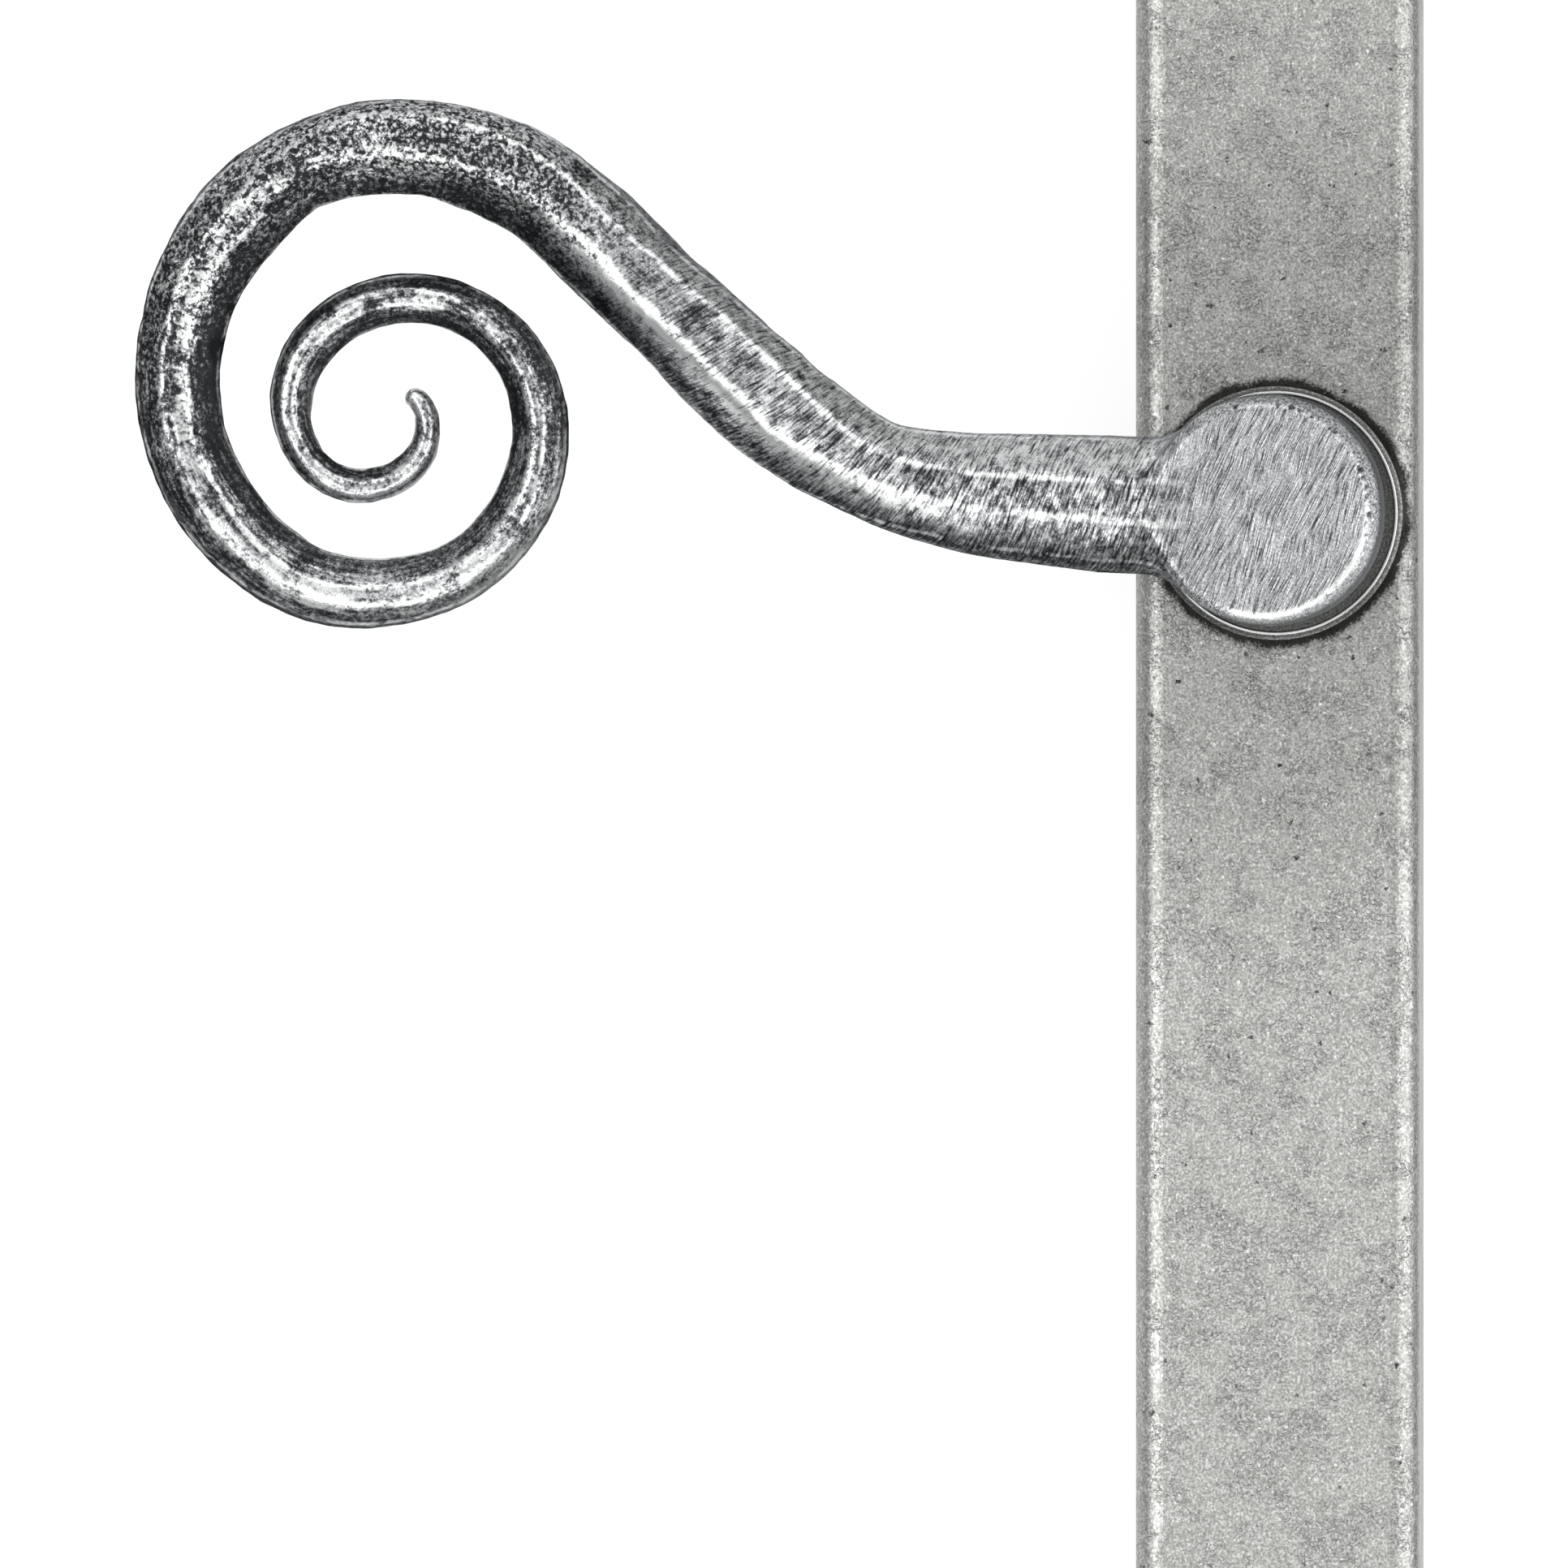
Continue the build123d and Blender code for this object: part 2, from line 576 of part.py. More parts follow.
def rack_rivets():
    return [rivet(RACK_RIVET_X, z, GEAR_FRONT, GEAR_BACK, 0.8) for z in RACK_RIVETS]


def rod():
    """The upper flat rod, slotted for the two sleeves and narrowed where it joins the bolt."""
    half, neck = ROD_WIDTH / 2, ROD_NECK_WIDTH / 2
    outline = [
        (-half, ROD_START),
        (half, ROD_START),
        (half, ROD_NECK_START - 2),
        (neck, ROD_NECK_START),
        (neck, ROD_END),
        (-neck, ROD_END),
        (-neck, ROD_NECK_START),
        (-half, ROD_NECK_START - 2),
    ]
    body = prism(outline, GEAR_FRONT, ROD_BACK)
    slot = SLEEVE_DIAMETER / 2 + SLIDE_FIT
    for h in FIXING_HEIGHTS:
        body -= slot_z(slot, h - THROW - SLIDE_FIT, h + SLIDE_FIT, GEAR_FRONT - 1, ROD_BACK + 1)
    for z in RACK_RIVETS:
        body -= rivet_hole(RACK_RIVET_X, z)
    for z in BOLT_RIVETS:
        body -= rivet_hole(0, z)
    return body


def bolt():
    """The upper shoot bolt: a bevelled tip, and a half-thickness tail in front of the rod."""
    w = BOLT_WIDTH / 2
    body = block(-w, w, BOLT_FRONT, BOLT_BACK, BOLT_SHOULDER, BOLT_TIP)
    body = chamfer(body.faces().sort_by(Axis.Z)[-1].edges(), BOLT_BEVEL)
    body += block(-w, w, BOLT_FRONT, GEAR_FRONT - 0.02, BOLT_LAP_START, BOLT_SHOULDER)
    for z in BOLT_RIVETS:
        body -= rivet_hole(0, z)
    return body


def bolt_rivets():
    return [rivet(0, z, BOLT_FRONT, ROD_BACK, 0) for z in BOLT_RIVETS]


# ---- writing the parts --------------------------------------------------------------------------------

NODES = {
    "cover": cover,
    "back_plate": back_plate,
    "upper_end_guide": end_guide,
    "lower_end_guide": lambda: turned(end_guide()),
    "cover_side_screws": side_screws,
    "end_guide_screws": end_screws,
    "rod_guides": rod_guides,
    "fixing_sleeves": sleeves,
    "gear_tray": gear_tray,
    "gear_cheek_plate": gear_cheek,
    "gear_box_pillars": pillars,
    "collar": collar,
    "collar_nut": collar_nut,
    "upper_keep": keep,
    "lower_keep": lambda: turned(keep()),
    "lever": lever,
    "grub_screw": grub_screw,
    "spindle": spindle,
    "pinion": pinion,
    "circlip": circlip,
    "friction_washer": friction_washer,
    "bearing_washer": bearing_washer,
    "upper_rack": rack,
    "upper_rack_rivets": rack_rivets,
    "upper_rod": rod,
    "upper_bolt": bolt,
    "upper_bolt_rivets": bolt_rivets,
    "lower_rack": lambda: turned(rack()),
    "lower_rack_rivets": lambda: [turned(r) for r in rack_rivets()],
    "lower_rod": lambda: turned(rod()),
    "lower_bolt": lambda: turned(bolt()),
    "lower_bolt_rivets": lambda: [turned(r) for r in bolt_rivets()],
}

os.makedirs("parts", exist_ok=True)
for name, make in NODES.items():
    shape = make()
    if isinstance(shape, list):
        shape = Compound(children=shape)
    export_step(shape, f"parts/{name}.step")
print("throw of each bolt", round(THROW, 3), "mm for a quarter turn")
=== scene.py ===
"""The looks of an espagnolette fastener with a forged monkey-tail lever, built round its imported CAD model.

The forged lever is a mesh of its own. A rough shape is remeshed and drawn onto the surface of a facetted bar
that runs along the forging's centreline, then dented as a hammer and a grinder leave it. Every other piece is
the CAD node itself with a procedural material. Lengths on the lever are millimetres until its mesh is made.
"""

import json
import math

import bmesh
import bpy
import numpy as np
from mathutils import Matrix, Vector, kdtree, noise


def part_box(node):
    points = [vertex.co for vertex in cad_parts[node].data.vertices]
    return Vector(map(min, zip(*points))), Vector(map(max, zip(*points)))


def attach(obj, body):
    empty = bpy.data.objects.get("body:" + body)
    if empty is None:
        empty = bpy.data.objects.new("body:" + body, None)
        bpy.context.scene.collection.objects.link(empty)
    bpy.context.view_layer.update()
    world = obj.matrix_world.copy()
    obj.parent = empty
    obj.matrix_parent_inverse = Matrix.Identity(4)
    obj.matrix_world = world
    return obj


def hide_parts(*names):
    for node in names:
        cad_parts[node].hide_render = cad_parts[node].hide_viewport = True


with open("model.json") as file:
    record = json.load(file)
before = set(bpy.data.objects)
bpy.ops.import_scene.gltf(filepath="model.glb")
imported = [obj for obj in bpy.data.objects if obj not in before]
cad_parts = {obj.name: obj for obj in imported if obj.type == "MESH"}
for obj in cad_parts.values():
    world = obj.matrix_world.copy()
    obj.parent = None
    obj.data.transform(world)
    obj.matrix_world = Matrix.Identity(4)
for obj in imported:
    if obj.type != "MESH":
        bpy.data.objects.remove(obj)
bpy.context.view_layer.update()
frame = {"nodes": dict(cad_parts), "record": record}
MM = 0.001

# ---- the forging's shape, as in the CAD model, in millimetres ------------------------------------
HEAD_RADIUS = 11.4
HEAD_X, HEAD_Z = -0.5, 0.3
HEAD_BACK, HEAD_FRONT = -16.9, -29.9
NECK_Y = -23.4
CRANK, CRANK_START, CRANK_END = 4.0, 12.0, 48.0
ROOT_X, ROOT_Z, ROOT_HEADING = -16.7, 1.0, 176.0
# The bar's route from the neck to its tip: (length, 0) is straight, (radius, degrees) is an arc.
BENDS = (
    (11.3, 0), (36.0, -39), (27.5, 0), (22.5, 192), (16.5, 118), (12.8, 141), (8.9, 96), (6.1, 132),
    (3.0, 52),
)
# The bar's thickness: distance along, width.
TAPER = (
    (0, 13.5), (23, 10.8), (36, 11.7), (69, 10.6), (104, 9.3), (127, 8.5), (150, 7.0), (185, 5.8),
    (208, 4.8), (230, 3.3), (234, 2.4), (237, 1.8),
)
SHANK_RADIUS, SHANK_END = 5.95, -9.1
CLIP_GROOVE, CLIP_FRONT, CLIP_BACK = 5.3, -10.15, -9.35
SOCKET_HALF, SOCKET_FRONT = 3.05, -27.1
GRUB_Y, GRUB_RADIUS, GRUB_CHAMFER = -22.0, 2.0, 0.35
GRUB_MOUTH = HEAD_Z - HEAD_RADIUS  # z, at the head's lowest point

# ---- the forging's surface, which the CAD model leaves out ---------------------------------------
VOXEL = 0.3
TRACK_STEP = 0.25
SLOPE_STEP = 0.02
BEVEL_SLOPE = 0.62  # radians, from the head's face
HEAD_ROUNDING, FACE_ROUNDING, NECK_FILLET = 0.16, 0.07, 2.4
# The planes of the head's face and back fade away along the neck, from and to these places in x.
FACE_FADE = (-13.0, -27.0)
BACK_FADE = (-14.0, -28.0)
FADED = 20.0
# The bar's section at three places: flats round it as (degrees from the front towards the curl's inside,
# distance from the middle as a share of the half width). The neck is ground rounder than the scroll.
NECK_FLATS = (
    (0, 0.955), (36, 0.93), (76, 0.98), (130, 0.95), (180, 0.93), (-135, 0.95), (-88, 0.98),
    (-48, 0.88), (20, 1.1),
)
STRAIGHT_FLATS = (
    (-2, 0.95), (52, 0.86), (94, 0.97), (138, 0.94), (180, 0.93), (-138, 0.95), (-90, 0.97),
    (-52, 0.98), (24, 1.0),
)
SCROLL_FLATS = (
    (0, 0.94), (50, 0.80), (96, 0.96), (140, 0.94), (180, 0.93), (-138, 0.95), (-86, 0.95), (-42, 0.87),
    (25, 0.915),
)
STRAIGHT_FROM, STRAIGHT_TO = 12.0, 36.0
SCROLL_FROM, SCROLL_TO = 75.0, 108.0
# How far the flats are turned about the bar, in degrees, at distances along it.
TWIST = (
    (24, 0), (43, -2), (56, -9), (68, -6), (84, -15), (98, -8), (112, -6), (127, -12), (143, -26),
    (160, -14), (180, 10), (200, -14), (219, -20), (232, -6),
)
# How far the hammer has spread the bar's two edges, or drawn them in where it is less than 0: distance
# along, at the outside, at the inside.
PLANISHED = (
    (0, 0.1, 0.1), (10, 0.15, 0.1), (16, 0.1, -0.2), (22, -0.45, -0.05), (25, -0.3, -0.1),
    (31, 0.2, -0.15), (42, -0.3, 0.1), (50, -0.35, -0.35), (60, 0.0, -0.35), (67, -0.1, 0.0),
    (72, -0.55, 0.1), (82, -0.35, -0.1), (91, -0.4, -0.6), (95, -0.25, 0.0), (99, -0.35, 0.4),
    (110, -0.4, 0.2), (118, -0.25, 0.1), (130, 0.0, 0.0), (140, 0.0, -0.25), (149, -0.25, 0.0),
    (159, 0.0, -0.55), (176, -0.1, -0.35), (186, -0.3, -0.3), (197, -0.1, -0.1), (206, -0.35, 0.25),
    (211, -0.4, 0.0), (217, -0.15, -0.5), (224, -0.15, 0.05), (230, 0.1, -0.4), (237, 0.0, 0.0),
)
# How much brighter or darker the forging is, partly wear and patina, partly painted highlight and shade:
# distance along, on its outside, on its front.
WEAR_AND_PAINTED_LIGHT = (
    (0, 0.3, 0.0), (20, 0.28, 0.03), (30, 0.24, 0.06), (43, 0.19, 0.06), (56, 0.12, 0.08),
    (68, 0.25, -0.04), (82, 0.14, 0.0), (97, 0.12, -0.06), (113, -0.16, -0.13), (129, -0.22, 0.02),
    (138, -0.1, 0.2), (148, 0.02, 0.24), (160, 0.22, 0.03), (168, 0.05, -0.05), (174, -0.24, -0.2),
    (188, -0.28, -0.26), (203, -0.16, -0.1), (215, 0.05, -0.15), (228, 0.05, -0.1), (235, 0.1, 0.1),
    (237, 0.2, 0.3),
)
# The bar's inner side, darkened, partly patina kept inside the curl and partly painted shade: distance along,
# degrees round where it starts, how dark.
SHADED = (
    (0, 44, 0.6), (14, 44, 0.85), (45, 42, 1.0), (56, 28, 0.95), (75, 34, 0.6), (97, 42, 0.35),
    (112, 28, 0.9), (130, 25, 1.2), (145, 30, 1.0), (160, 42, 0.4), (180, 42, 0.35), (195, 40, 0.3),
    (237, 40, 0.25),
)


def smooth(t):
    """0 below 0, 1 above 1, and eased between."""
    t = np.clip(t, 0.0, 1.0)
    return t * t * (3 - 2 * t)


def fade(values, start, end):
    """Eases from 0 to 1 as the values go from start to end."""
    return smooth((values - start) / (end - start))


def wave(x, seed):
    """A smooth random function of x, near -1 to 1, that changes over a length of about 1."""
    rng = np.random.default_rng(seed)
    table = rng.uniform(-1, 1, 512)
    cell = np.floor(x).astype(int)
    return table[cell % 512] + (table[(cell + 1) % 512] - table[cell % 512]) * smooth(x - cell)


def along_table(s, table, column=1):
    """A column of a table, read at the distances s along the bar."""
    return np.interp(s, [row[0] for row in table], [row[column] for row in table])


def tree_of(points):
    """A search tree over a list of points."""
    tree = kdtree.KDTree(len(points))
    for index, point in enumerate(points):
        tree.insert(point, index)
    tree.balance()
    return tree


# ---- the lever's mesh ----------------------------------------------------------------------------


def track():
    """The bar's centreline from inside the head to the tip: distance from the root, x, z and heading."""
    lead = math.hypot(ROOT_X - HEAD_X, ROOT_Z - HEAD_Z)
    heading = math.atan2(ROOT_Z - HEAD_Z, ROOT_X - HEAD_X)
    rows = []
    for i in range(int(lead / TRACK_STEP)):
        d = i * TRACK_STEP
        rows.append((d - lead, HEAD_X + d * math.cos(heading), HEAD_Z + d * math.sin(heading), heading))
    x, z, heading, travelled = ROOT_X, ROOT_Z, math.radians(ROOT_HEADING), 0.0
    rows.append((0.0, x, z, heading))
    for size, turn in BENDS:
        length = size if turn == 0 else size * math.radians(abs(turn))
        steps = round(length / TRACK_STEP)
        for _ in range(steps):
            bend = math.radians(turn) / steps
            x += length / steps * math.cos(heading + bend / 2)
            z += length / steps * math.sin(heading + bend / 2)
            heading += bend
            travelled += length / steps
            rows.append((travelled, x, z, heading))
    return np.array(rows)


TRACK = track()
TRACK_TREE = tree_of([(x, 0.0, z) for _, x, z, _ in TRACK])


def half_width(s):
    return np.interp(s, [d for d, _ in TAPER], [w / 2 for _, w in TAPER])


def middle_y(s):
    return NECK_Y - CRANK * fade(s, CRANK_START, CRANK_END)


def nearest(points):
    """The place on the track nearest to each point, seen from the front."""
    return np.array([TRACK_TREE.find((x, 0.0, z))[1] for x, _, z in points])


def on_bar(points, places):
    """Each point's distance along the bar, sideways towards the curl's inside, and forwards."""
    s, x, z, heading = TRACK[places].T
    dx, dz = points[:, 0] - x, points[:, 2] - z
    ahead = dx * np.cos(heading) + dz * np.sin(heading)
    side = -dx * np.sin(heading) + dz * np.cos(heading)
    return s + ahead, side, middle_y(s + ahead) - points[:, 1]


def soft_max(values, size):
    """The largest of several fields, with the edges between them rounded to about the given size."""
    stack = np.array(values)
    top = stack.max(0)
    return top + size * np.log(np.exp((stack - top) / size).sum(0))


def soft_min(a, b, size):
    h = np.clip(0.5 + 0.5 * (b - a) / size, 0, 1)
    return b + (a - b) * h - size * h * (1 - h)


def straightness(s):
    """0 in the neck, which is ground round, and 1 past it."""
    return fade(s, STRAIGHT_FROM, STRAIGHT_TO)


def flats_at(s, half):
    """The angle and the distance from the middle of each flat, at each distance along the bar."""
    straight = straightness(s)
    scroll = fade(s, SCROLL_FROM, SCROLL_TO)
    twist = np.radians(along_table(s, TWIST)) * straight
    outside, inside = along_table(s, PLANISHED, 1), along_table(s, PLANISHED, 2)
    flats = []
    for k, ((a0, d0), (a1, d1), (a2, d2)) in enumerate(zip(NECK_FLATS, STRAIGHT_FLATS, SCROLL_FLATS)):
        degrees = a0 + (a1 - a0) * straight + (a2 - a1) * scroll + 7 * straight * wave(s / 14, 40 + k)
        distance = half * (d0 + (d1 - d0) * straight + (d2 - d1) * scroll)
        facing = math.sin(math.radians(a1))
        distance = distance + (inside if facing > 0 else outside) * abs(facing) ** 3
        uneven = 0.024 * half * wave(s / 6.5, 10 + k) + 0.03 * wave(s / 2.3, 20 + k)
        distance = distance + straight * uneven
        flats.append((np.radians(degrees) + twist * abs(math.cos(math.radians(a1))), distance))
    return flats


def past_flats(s, side, front):
    """How far each point stands out past the plane of each flat."""
    return [side * np.sin(a) + front * np.cos(a) - d for a, d in flats_at(s, half_width(s))]


def bar_field(points, places):
    """How far each point stands outside the facetted bar."""
    s, side, front = on_bar(points, places)
    half = half_width(s)
    field = soft_max(past_flats(s, side, front), half * (0.085 - 0.035 * straightness(s)))
    past_tip = s - TRACK[-1, 0]
    tip = np.sqrt(side ** 2 + front ** 2 + np.maximum(past_tip + 0.5, 0) ** 2) - 0.97 * half
    field = np.where(past_tip > -0.5, np.maximum(field, tip), field)
    return soft_max([field, TRACK[0, 0] - s - 3.0], 0.3)


def bevel_width(around):
    """How wide the bevel round the head's face is, at an angle in radians. It is widest at the right."""
    return 1.1 + 0.4 * np.cos(around - 0.35)


def lever_field(points, places):
    """How far each point stands outside the whole forging: the head and the bar, blended at the neck."""
    x, y, z = points.T
    around = np.arctan2(z - HEAD_Z, x - HEAD_X)
    out = np.hypot(x - HEAD_X, z - HEAD_Z) + 0.07 * wave(around * 2.2 + 9, 5)
    past_edge = out - HEAD_RADIUS + bevel_width(around)
    front, back = HEAD_FRONT - y, y - HEAD_BACK
    bevel = past_edge * math.sin(BEVEL_SLOPE) + front * math.cos(BEVEL_SLOPE)
    head = soft_max([out - HEAD_RADIUS, bevel, back], HEAD_ROUNDING)
    body = soft_min(head, bar_field(points, places), NECK_FILLET)
    face = front - FADED * fade(x, *FACE_FADE)
    behind = back - FADED * fade(x, *BACK_FADE)
    return soft_max([body, face, behind], FACE_ROUNDING)


def slope_of(points, places):
    """The field and its unit slope at each point."""
    here = lever_field(points, places)
    steps = SLOPE_STEP * np.eye(3)
    slope = np.array([lever_field(points + step, places) - here for step in steps]).T / SLOPE_STEP
    return here, slope / np.linalg.norm(slope, axis=1)[:, None]


def skin(mesh, rings):
    """Joins equal rings of vertices by faces, and closes the first and the last."""
    corners = len(rings[0])
    for one, other in zip(rings, rings[1:]):
        for k in range(corners):
            mesh.faces.new((one[k], one[(k + 1) % corners], other[(k + 1) % corners], other[k]))
    mesh.faces.new(rings[0][::-1])
    mesh.faces.new(rings[-1])


def finished(mesh, name):
    data = bpy.data.meshes.new(name)
    mesh.to_mesh(data)
    mesh.free()
    return data


def rough_forging():
    """Round sections down the track and a disc for the head, remeshed into one even closed mesh."""
    mesh = bmesh.new()
    rings = []
    corners = 20
    for s, x, z, heading in TRACK[::6]:
        half = half_width(s)
        ring = []
        for k in range(corners):
            a = 2 * math.pi * k / corners
            side, front = half * math.sin(a), half * math.cos(a)
            place = (x - side * math.sin(heading), middle_y(s) - front, z + side * math.cos(heading))
            ring.append(mesh.verts.new(place))
        rings.append(ring)
    skin(mesh, rings)
    middle = Matrix.Translation((HEAD_X, (HEAD_BACK + HEAD_FRONT) / 2, HEAD_Z))
    turn = Matrix.Rotation(math.pi / 2, 4, "X")
    disc = {"radius1": HEAD_RADIUS, "radius2": HEAD_RADIUS, "depth": HEAD_BACK - HEAD_FRONT}
    bmesh.ops.create_cone(mesh, cap_ends=True, segments=96, matrix=middle @ turn, **disc)
    bmesh.ops.recalc_face_normals(mesh, faces=mesh.faces)
    return remeshed(finished(mesh, "forging_rough"), VOXEL)


def remeshed(data, size):
    """A mesh made again from voxels of one size."""
    rough = bpy.data.objects.new("rough", data)
    bpy.context.scene.collection.objects.link(rough)
    remesh = rough.modifiers.new("even", "REMESH")
    remesh.mode = "VOXEL"
    remesh.voxel_size = size
    result = bpy.data.meshes.new_from_object(rough.evaluated_get(bpy.context.evaluated_depsgraph_get()))
    bpy.data.objects.remove(rough)
    return result


def read_points(data):
    flat = np.empty(len(data.vertices) * 3)
    data.vertices.foreach_get("co", flat)
    return flat.reshape(-1, 3)


def relaxed(points, pairs):
    """Each point moved halfway to the mean of its neighbours."""
    total = np.zeros_like(points)
    count = np.zeros(len(points))
    for a, b in (pairs.T, pairs.T[::-1]):
        for axis in range(3):
            total[:, axis] += np.bincount(a, points[b, axis], len(points))
        count += np.bincount(a, minlength=len(points))
    return (points + total / count[:, None]) / 2


def noise_at(points, size, shift=0.0):
    """Smooth noise, near -1 to 1, whose features are about size millimetres across."""
    return np.array([noise.noise(Vector(p)) for p in points / size + shift])


def hammer_marks(points, places):
    """How far the forge and the grinder leave each point of the surface above or below the smooth shape."""
    s, side, front = on_bar(points, places)
    around = np.arctan2(side, front) * half_width(s)
    forged = fade(s, 14, 44)
    face = smooth((HEAD_FRONT + 0.35 - points[:, 1]) / 0.3) * (1 - forged)
    ground = noise_at(np.array([(s + 0.12 * around) / 0.5, around / 3, 0 * s]).T, 1.0)
    height = (0.10 * noise_at(points, 3.1) + 0.06 * noise_at(points, 1.1, 40)) * (0.12 + 0.88 * forged)
    height += 0.03 * ground * fade(s, -7, -2) * (1 - fade(s, 30, 70)) * (1 - face)
    return height * (1 - 0.9 * face)


def dents(points, places):
    """How deep the small pits, the larger hammer dents and the nicks round the head's bevel are."""
    rng = np.random.default_rng(7)
    depth = np.zeros(len(points))
    tree = tree_of(points)

    def dent(centre, radius, deep):
        for _, index, distance in tree.find_range(centre, radius):
            depth[index] += deep * (1 - (distance / radius) ** 2) ** 2

    s = TRACK[places, 0]
    for index in rng.choice(np.flatnonzero(s > 16), 420, replace=False):
        radius = rng.uniform(0.35, 0.85) * (1.0 if s[index] < 130 else 0.6)
        dent(points[index], radius, rng.uniform(0.05, 0.16) * radius)
    for index in rng.choice(np.flatnonzero((s > 34) & (s < 150)), 26, replace=False):
        dent(points[index], rng.uniform(1.2, 2.4), rng.uniform(0.08, 0.2))
    nicks = [rng.uniform(10, 118, 26), rng.uniform(-80, 8, 20), rng.uniform(205, 240, 8)]
    for degrees in np.concatenate(nicks):
        angle = math.radians(degrees)
        out = HEAD_RADIUS - bevel_width(angle) + rng.uniform(-0.15, 0.2)
        centre = Vector((HEAD_X + out * math.cos(angle), HEAD_FRONT + 0.3, HEAD_Z + out * math.sin(angle)))
        dent(centre, rng.uniform(0.3, 0.5), rng.uniform(0.06, 0.13))
    return depth


def forging():
    """The forging's mesh, drawn onto its smooth shape and dented, with its points and their dents' depths."""
    data = rough_forging()
    points = read_points(data)
    pairs = np.empty(len(data.edges) * 2, int)
    data.edges.foreach_get("vertices", pairs)
    pairs = pairs.reshape(-1, 2)
    for rounds in range(5):
        places = nearest(points)
        field, slope = slope_of(points, places)
        points = points - field[:, None] * slope
        if rounds in (1, 2, 3):
            points = relaxed(points, pairs)
    places = nearest(points)
    _, slope = slope_of(points, places)
    deep = dents(points, places)
    marks = hammer_marks(points, places) - deep
    points = points + marks[:, None] * slope
    data.vertices.foreach_set("co", points.ravel())
    data.update()
    return data, points, deep


def lathe(name, profile, segments=96):
    """A closed mesh turned about the spindle's axis from (radius, y) corners."""
    mesh = bmesh.new()
    rings = []
    for radius, y in profile:
        ring = []
        for k in range(segments):
            a = 2 * math.pi * k / segments
            ring.append(mesh.verts.new((radius * math.cos(a), y, radius * math.sin(a))))
        rings.append(ring)
    skin(mesh, rings)
    bmesh.ops.recalc_face_normals(mesh, faces=mesh.faces)
    return finished(mesh, name)


def block(name, low, high):
    mesh = bmesh.new()
    bmesh.ops.create_cube(mesh, size=1.0)
    for vertex in mesh.verts:
        for axis in range(3):
            vertex.co[axis] = low[axis] if vertex.co[axis] < 0 else high[axis]
    return finished(mesh, name)


def cut(data, other, operation):
    """One mesh joined to or cut by another, with an exact boolean."""
    base = bpy.data.objects.new("base", data)
    tool = bpy.data.objects.new("tool", other)
    for made in (base, tool):
        bpy.context.scene.collection.objects.link(made)
    boolean = base.modifiers.new("cut", "BOOLEAN")
    boolean.operation = operation
    boolean.solver = "EXACT"
    boolean.object = tool
    result = bpy.data.meshes.new_from_object(base.evaluated_get(bpy.context.evaluated_depsgraph_get()))
    bpy.data.objects.remove(base)
    bpy.data.objects.remove(tool)
    return result


def lever_marks(data, forged_points, deep):
    """Writes what the lever's material reads: where each point is, how worn or hollow it is there, and where
    highlight and shade are painted on it.
    """
    points = read_points(data)
    s, side, front = on_bar(points, nearest(points))
    half = half_width(s)
    gaps = np.sort(np.array(past_flats(s, side, front)), axis=0)
    angle = np.arctan2(side, front)
    degrees = np.degrees(angle)
    tree = tree_of(forged_points)
    near = [tree.find(point)[1] for point in points]
    outside = fade(degrees, -12, -42)
    # brightness along the bar: partly wear and patina, partly painted highlight and shade from the lights
    wear_and_painted_light = along_table(s, WEAR_AND_PAINTED_LIGHT, 1) * outside + along_table(s, WEAR_AND_PAINTED_LIGHT, 2) * (1 - outside)
    # a painted highlight: a bright band on the front of the bar's inner side, from the neck to the scroll,
    # where the light from below falls
    wear_and_painted_light = wear_and_painted_light + 0.42 * np.exp(-(((degrees - 27) / 13) ** 2)) * fade(s, 8, 20) * fade(s, 68, 54)
    # the inner side's darkening: partly patina kept inside the curl, partly painted shade
    inner = fade(degrees - along_table(s, SHADED, 1), 0, 20) * fade(degrees, 86, 66)
    right, up = points[:, 0] - HEAD_X, points[:, 2] - HEAD_Z
    past_edge = np.hypot(right, up) - HEAD_RADIUS + bevel_width(np.arctan2(up, right))
    on_head = fade(s, -12, -14)
    marks = {
        "along": s * MM,
        "around": angle * half * MM,
        "gap": gaps[-1] - gaps[-2] + 5 * (1 - fade(s, -14, -8)),
        "facing": smooth(1.15 - np.abs(angle) / 1.5),
        "inner": inner * fade(s, -8, -2) * along_table(s, SHADED, 2),
        # partly wear and patina, partly painted highlight and shade
        "wear_and_painted_light": wear_and_painted_light,
        "pitted": fade(s, 46, 64) * (1 - fade(s, 104, 128)),
        "forged": fade(s, 34, 74),
        "head": fade(s, -3, -12),
        "bevel": fade(past_edge, -0.05, 0.2) * on_head,
        # a bright line at the bevel's inner edge: partly worn edge, partly painted highlight
        "rim": np.exp(-(((past_edge - 0.05) / 0.25) ** 2)) * on_head,
        # how low on the head a point is, for a painted highlight low down where the light from below falls
        "low": smooth((0.25 - up / HEAD_RADIUS) / 0.9),
        "hollow": fade(deep[near], 0, 0.09),
    }
    for name, values in marks.items():
        attribute = data.attributes.new(name, "FLOAT", "POINT")
        attribute.data.foreach_set("value", values.astype(np.float32))


